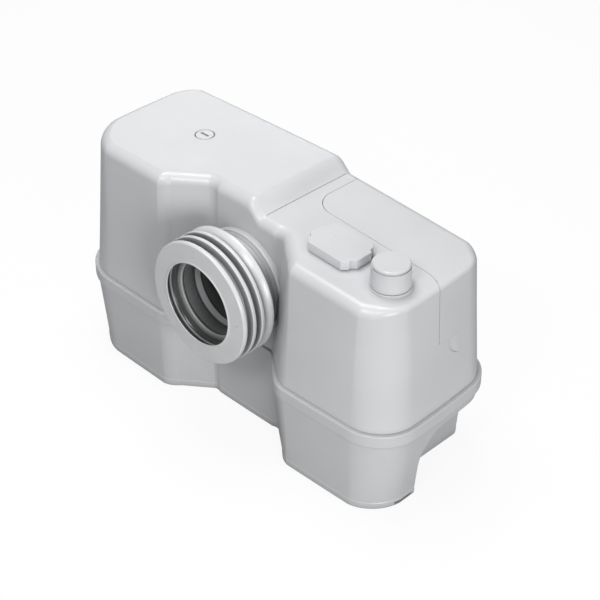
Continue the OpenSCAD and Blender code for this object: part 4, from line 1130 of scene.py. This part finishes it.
def moulded(name, colour, roughness=0.3, grain=spark_depth, dust=0.05):
    """Satin moulded plastic: faint flow tone, fine spark grain, dust low down, paler edges that are partly wear
    and partly painted sheen, and painted shade in grooves and corners.
    """
    s = Surface(name)
    flow = s.mottle(flow_scale, 2, colour, low=0.975, high=1.02)
    height = s.node("ShaderNodeSeparateXYZ", Vector=s.place).outputs["Z"]
    low_down = s.between(height, dust, 0.0, from_low=0.0, from_high=dust_height)
    patchy = s.between(s.noise(dust_scale, 4), low=0.2, high=1.0)
    dusty = s.blend(s.times(low_down, patchy), flow, dust_colour)
    # Paler convex edges from pointiness: partly wear, partly a painted sheen on the edges.
    pointed = s.node("ShaderNodeNewGeometry").outputs["Pointiness"]
    edge = s.between(pointed, low=0.0, high=0.25, from_low=0.52, from_high=0.62)
    wear_and_sheen = s.blend(edge, dusty, shade(colour, 1.06))
    # Painted shade: the colour darkens in grooves and corners, from ambient occlusion.
    s.colour(s.blend(s.painted_crease_shade(reach=10, most=0.5), wear_and_sheen, shade(colour, 0.45)))
    s.roughen(s.between(s.noise(polish_scale, 2), roughness - 0.02, roughness + 0.03))
    s.bump((s.noise(spark_scale, 2), grain), (s.noise(sink_scale, 2), sink_depth))
    return s.material


def inlet_radius(s):
    """Distance from the inlet's axis."""
    settings = {"Location": (0, 0, -inlet_z * MM), "Scale": (1, 0, 1)}
    across = s.node("ShaderNodeMapping", settings, Vector=s.place).outputs[0]
    return s.node("ShaderNodeVectorMath", {"operation": "LENGTH"}, Vector=across).outputs["Value"]


def behind(s, y):
    """Nothing in front of a depth, one behind it."""
    depth = s.node("ShaderNodeSeparateXYZ", Vector=s.place).outputs["Y"]
    return s.between(depth, 0.0, 1.0, y * MM, (y + 1) * MM)


def throat(s, most_r, from_y):
    """One inside the inlet, within a radius of its axis and behind a depth, and nothing elsewhere."""
    within = s.between(inlet_radius(s), 1.0, 0.0, most_r * MM, (most_r + 1) * MM)
    return s.times(within, behind(s, from_y))


def inlet_bore(name, colour):
    """Inlet plastic with painted shade in its corners, and dark painted shade in its bore behind the step."""
    s = Surface(name)
    flow = s.mottle(flow_scale, 2, colour, low=0.975, high=1.02)
    # Painted shade in corners, from ambient occlusion.
    crease_shaded = s.blend(s.painted_crease_shade(reach=60, most=0.9), flow, shade(colour, 0.4))
    # Painted shade: the bore behind its step darkens to near black where ambient occlusion is high.
    inside = throat(s, pipe_bore_r + 2, bore_step_y)
    inside_shade = s.times(inside, s.painted_crease_shade(reach=120, most=1.0, shut=0.1, clear=0.6))
    s.colour(s.blend(inside_shade, crease_shaded, shade(colour, 0.05)))
    s.roughen(s.between(s.noise(polish_scale, 2), low=0.43, high=0.48))
    s.bump((s.noise(spark_scale, 2), spark_depth), (s.noise(sink_scale, 2), sink_depth))
    return s.material


# Painted shade inside the sleeve: how strong it is on the two lips and between them, and where that changes
shade_on_guide = 0.45
shade_on_seal = 0.6
shade_in_hollow = 1.4
shade_in_bore = 1.15
guide_hollow_r = mouth_r - 0.6
seal_crest_r = seal_r + 0.4
seal_hollow_r = guide_r - 1.5
inside_shade_y = sleeve_front_y + 1.2
seal_shade_y = sleeve_front_y + guide_u + 0.4
bore_shade_y = sleeve_front_y + seal_u + 1.4


def lip_shade_share(s):
    """Share of the painted shade: weak on the crests of the guide ring and the seal lip, strong in the hollows."""
    radius = inlet_radius(s)
    by_guide = s.between(radius, shade_on_guide, shade_in_hollow, guide_r * MM, guide_hollow_r * MM)
    by_seal = s.between(radius, shade_on_seal, shade_in_hollow, seal_crest_r * MM, seal_hollow_r * MM)
    share = s.blend(behind(s, seal_shade_y), by_guide, by_seal)
    return s.blend(behind(s, bore_shade_y), share, (shade_in_bore,) * 3)


def sleeve_skin(name, colour):
    """Smooth grey rubber, with painted shade between its ribs and dark painted shade inside its mouth."""
    s = Surface(name, specular=0.8)
    bloom = s.mottle(bloom_scale, 4, colour, low=0.97, high=1.02)
    # Painted shade between the ribs, from ambient occlusion.
    crease_shaded = s.blend(s.painted_crease_shade(reach=70, most=1.0, clear=0.75), bloom, shade(colour, 0.26))
    # Painted shade inside the mouth, darker where ambient occlusion is high and weaker on the lip crests.
    inside = throat(s, mouth_r + 0.4, inside_shade_y)
    inside_shade = s.times(inside, s.painted_crease_shade(reach=100, most=1.0, shut=0.24, clear=0.9))
    s.colour(s.blend(s.times(inside_shade, lip_shade_share(s)), crease_shaded, shade(colour, 0.06)))
    s.roughen(s.between(s.noise(wipe_scale, 3), low=0.27, high=0.33))
    s.bump((s.noise(skin_scale, 3), 0.002), (s.noise(wave_scale, 2), 0.01))
    return s.material


def rubber(name, colour, roughness=0.65):
    """Rubber with a soft bloom, fine skin, faint mould waves and painted shade in its grooves."""
    s = Surface(name)
    bloom = s.mottle(bloom_scale, 4, colour, low=0.96, high=1.03)
    specks = s.between(s.noise(speck_scale, 2), low=0.0, high=0.05, from_low=0.55, from_high=0.75)
    speckled = s.blend(specks, bloom, shade(colour, 0.86))
    # Painted shade in grooves, from ambient occlusion.
    s.colour(s.blend(s.painted_crease_shade(reach=14, most=0.4), speckled, shade(colour, 0.26)))
    s.roughen(s.between(s.noise(wipe_scale, 3), roughness - 0.06, roughness + 0.06))
    s.bump((s.noise(skin_scale, 3), 0.03), (s.noise(wave_scale, 2), 0.06))
    return s.material


def metal(name, colour, roughness=0.32):
    """Machined metal: stretched tool marks and uneven polish."""
    s = Surface(name, metallic=1.0)
    marks = s.noise(300, 4, stretch=(1, 1, 30))
    s.colour(s.tone(marks, shade(colour, 0.85), shade(colour, 1.05)))
    s.roughen(s.between(s.noise(90, 4), roughness - 0.08, roughness + 0.12))
    s.bump((marks, 0.01))
    return s.material


def cast_metal(name, colour):
    """Die-cast metal with a pebbled skin."""
    s = Surface(name, metallic=0.9)
    pebble = s.noise(650, 5)
    s.colour(s.mottle(35, 4, colour, low=0.85, high=1.05))
    s.roughen(s.between(pebble, low=0.42, high=0.62))
    s.bump((pebble, 0.06))
    return s.material


def laminated(name, colour):
    """Stacked steel sheets: fine bands along the height."""
    s = Surface(name, metallic=0.8)
    settings = {"bands_direction": "Z", "Scale": 300.0, "Distortion": 0.4}
    lines = s.node("ShaderNodeTexWave", settings, Vector=s.place).outputs["Fac"]
    s.colour(s.tone(lines, shade(colour, 0.55), shade(colour, 1.1), from_low=0.1, from_high=0.6))
    s.roughen(s.between(s.noise(120, 3), low=0.4, high=0.65))
    s.bump((lines, 0.08))
    return s.material


def foam(name, colour):
    """Open carbon foam."""
    s = Surface(name, specular=0.2)
    cells = s.node("ShaderNodeTexVoronoi", {"Scale": 900.0}, Vector=s.place).outputs["Distance"]
    s.colour(s.tone(cells, shade(colour, 0.4), shade(colour, 1.8), from_low=0.1, from_high=0.6))
    s.roughen(s.between(cells, low=0.8, high=0.98))
    s.bump((cells, 0.5))
    return s.material


def circuit(name, colour):
    """Board with paler tracks under its mask."""
    s = Surface(name)
    settings = {"Scale": 90.0, "Mortar Size": 0.03}
    tracks = s.node("ShaderNodeTexBrick", settings, Vector=s.place).outputs["Fac"]
    s.colour(s.blend(tracks, colour, shade(colour, 1.9)))
    s.roughen(s.between(s.noise(200, 2), low=0.25, high=0.4))
    s.bump((tracks, 0.03), (s.noise(500, 2), 0.01))
    return s.material


shell_grey = (0.66, 0.67, 0.685)
tank_grey = (0.625, 0.635, 0.65)
sleeve_grey = (0.72, 0.73, 0.74)
coarse_grain = 0.03
finishes = {
    "housing_plastic": (moulded, shell_grey),
    "tank_plastic": (moulded, tank_grey),
    "screw_plastic": (moulded, shade(shell_grey, 1.06), 0.45),
    "sleeve_rubber": (sleeve_skin, sleeve_grey),
    "inlet_plastic": (inlet_bore, shade(shell_grey, 0.9)),
    "inner_plastic": (moulded, (0.62, 0.62, 0.60), 0.5),
    "pump_plastic": (moulded, (0.17, 0.20, 0.24), 0.5, coarse_grain),
    "seal_rubber": (rubber, (0.022, 0.022, 0.023)),
    "dark_plastic": (moulded, (0.03, 0.03, 0.032), 0.5, coarse_grain),
    "motor_metal": (cast_metal, (0.42, 0.43, 0.44)),
    "core_iron": (laminated, (0.12, 0.12, 0.125)),
    "steel": (metal, (0.52, 0.53, 0.54)),
    "capacitor_plastic": (moulded, (0.68, 0.68, 0.66)),
    "board_green": (circuit, (0.012, 0.10, 0.035)),
    "terminal_plastic": (moulded, (0.66, 0.60, 0.44), 0.45),
    "carbon_foam": (foam, (0.02, 0.02, 0.02)),
}
looks = {slot: make(slot, *settings) for slot, (make, *settings) in finishes.items()}

# Every solid takes the material of its slot, and the pieces that show are replaced by finer ones
slot_of = {part["node"]: part["material_slot"] for part in frame["record"]["subparts"]}
for name, node in frame["nodes"].items():
    for held in node.material_slots:
        held.material = looks[slot_of[name]]

body_of = {n: body for body, members in frame["record"]["behaviour"]["bodies"].items() for n in members}
builders = {
    "upper_housing": build_housing,
    "service_cover": build_cover,
    "lower_tank": build_tank,
    "inlet_sleeve": build_sleeve,
    "inlet_elbow": build_elbow,
    "filter_cap": build_filter_cap,
    "outlet_cap": build_outlet_cap,
    "cover_screw": build_screw,
    "cable_grommet": build_grommet,
    "foot_pads": build_pads,
}
for node, build in builders.items():
    piece = build()
    piece.data.materials.clear()
    piece.data.materials.append(looks[slot_of[node]])
    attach(piece, body_of[node])
    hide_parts(node)

# Floor, light and camera, in metres and watts

floor_size = 12
floor_grey = 0.4
floor_white = 1.2
floor_white_share = 0.75
world_light = 0.25
lamps = {
    "overhead": {"place": (-0.2, 0.05, 1.5), "target": (0, 0, 0.2), "size": 0.8, "power": 10.8},
    "back": {"place": (-1.15, 1.05, 0.8), "target": (-0.12, 0, 0.2), "size": 0.8, "power": 2.8},
    "right": {"place": (1.45, -0.7, 0.42), "target": (0, 0, 0.12), "size": 0.7, "power": 11.5},
    "front": {"place": (0.6, -1.45, 1.65), "target": (0, 0, 0.12), "size": 0.65, "power": 11.6},
}


def clear_nodes(owner):
    """The emptied node tree of a material or a world, as its nodes and its link function."""
    owner.use_nodes = True
    owner.node_tree.nodes.clear()
    return owner.node_tree.nodes, owner.node_tree.links.new


def pick_shader(tree, factor, plain, shown, output):
    """Ends a tree with one shader for the light and another one where the factor is one."""
    nodes, link = tree
    pick = nodes.new("ShaderNodeMixShader")
    link(factor, pick.inputs[0])
    link(plain.outputs[0], pick.inputs[1])
    link(shown.outputs[0], pick.inputs[2])
    link(pick.outputs[0], nodes.new(output).inputs["Surface"])


def build_floor():
    """A pale floor: white to the camera apart from a soft shadow, and a plain grey to the light."""
    bpy.ops.mesh.primitive_plane_add(size=floor_size)
    floor = bpy.context.object
    floor.name = "floor"
    material = bpy.data.materials.new("floor_paint")
    nodes, link = clear_nodes(material)
    paint = nodes.new("ShaderNodeBsdfDiffuse")
    paint.inputs["Color"].default_value = (floor_grey, floor_grey, floor_grey, 1)
    white = nodes.new("ShaderNodeEmission")
    white.inputs["Strength"].default_value = floor_white
    keep_shadow = nodes.new("ShaderNodeMixShader")
    keep_shadow.inputs[0].default_value = floor_white_share
    link(paint.outputs[0], keep_shadow.inputs[1])
    link(white.outputs[0], keep_shadow.inputs[2])
    seen = nodes.new("ShaderNodeLightPath")
    direct = nodes.new("ShaderNodeMath")
    direct.operation = "MAXIMUM"
    link(seen.outputs["Is Camera Ray"], direct.inputs[0])
    link(seen.outputs["Is Transmission Ray"], direct.inputs[1])
    pick_shader((nodes, link), direct.outputs[0], paint, keep_shadow, "ShaderNodeOutputMaterial")
    floor.data.materials.append(material)


def build_world():
    """Even light from all round, seen as white by the camera."""
    world = bpy.data.worlds.new("studio")
    bpy.context.scene.world = world
    nodes, link = clear_nodes(world)
    light = nodes.new("ShaderNodeBackground")
    white = nodes.new("ShaderNodeBackground")
    light.inputs["Color"].default_value = (1, 1, 1, 1)
    white.inputs["Color"].default_value = (1, 1, 1, 1)
    light.inputs["Strength"].default_value = world_light
    seen = nodes.new("ShaderNodeLightPath")
    pick_shader((nodes, link), seen.outputs["Is Camera Ray"], light, white, "ShaderNodeOutputWorld")


def aim(thing, direction):
    thing.rotation_euler = direction.to_track_quat("-Z", "Y").to_euler()


def add_lamp(name, place, target, size, power):
    data = bpy.data.lights.new(name, "AREA")
    data.shape = "DISK"
    data.size = size
    data.energy = power
    lamp = put(name, data)
    lamp.location = place
    aim(lamp, Vector(target) - Vector(place))


view_target = Vector((24, 3, 120)) * MM
view_distance = 1501.5 * MM
view_from = Vector((1, -1, 1)).normalized()
focal_px = 1550
image_px = 600
sensor_mm = 36


def build_camera():
    data = bpy.data.cameras.new("camera")
    data.sensor_width = sensor_mm
    data.lens = focal_px / image_px * sensor_mm
    camera = put("camera", data)
    camera.location = view_target + view_from * view_distance
    aim(camera, -view_from)
    bpy.context.scene.camera = camera


build_floor()
build_world()
for name, lamp_settings in lamps.items():
    add_lamp(name, **lamp_settings)
build_camera()
bpy.context.scene.view_settings.view_transform = "Standard"
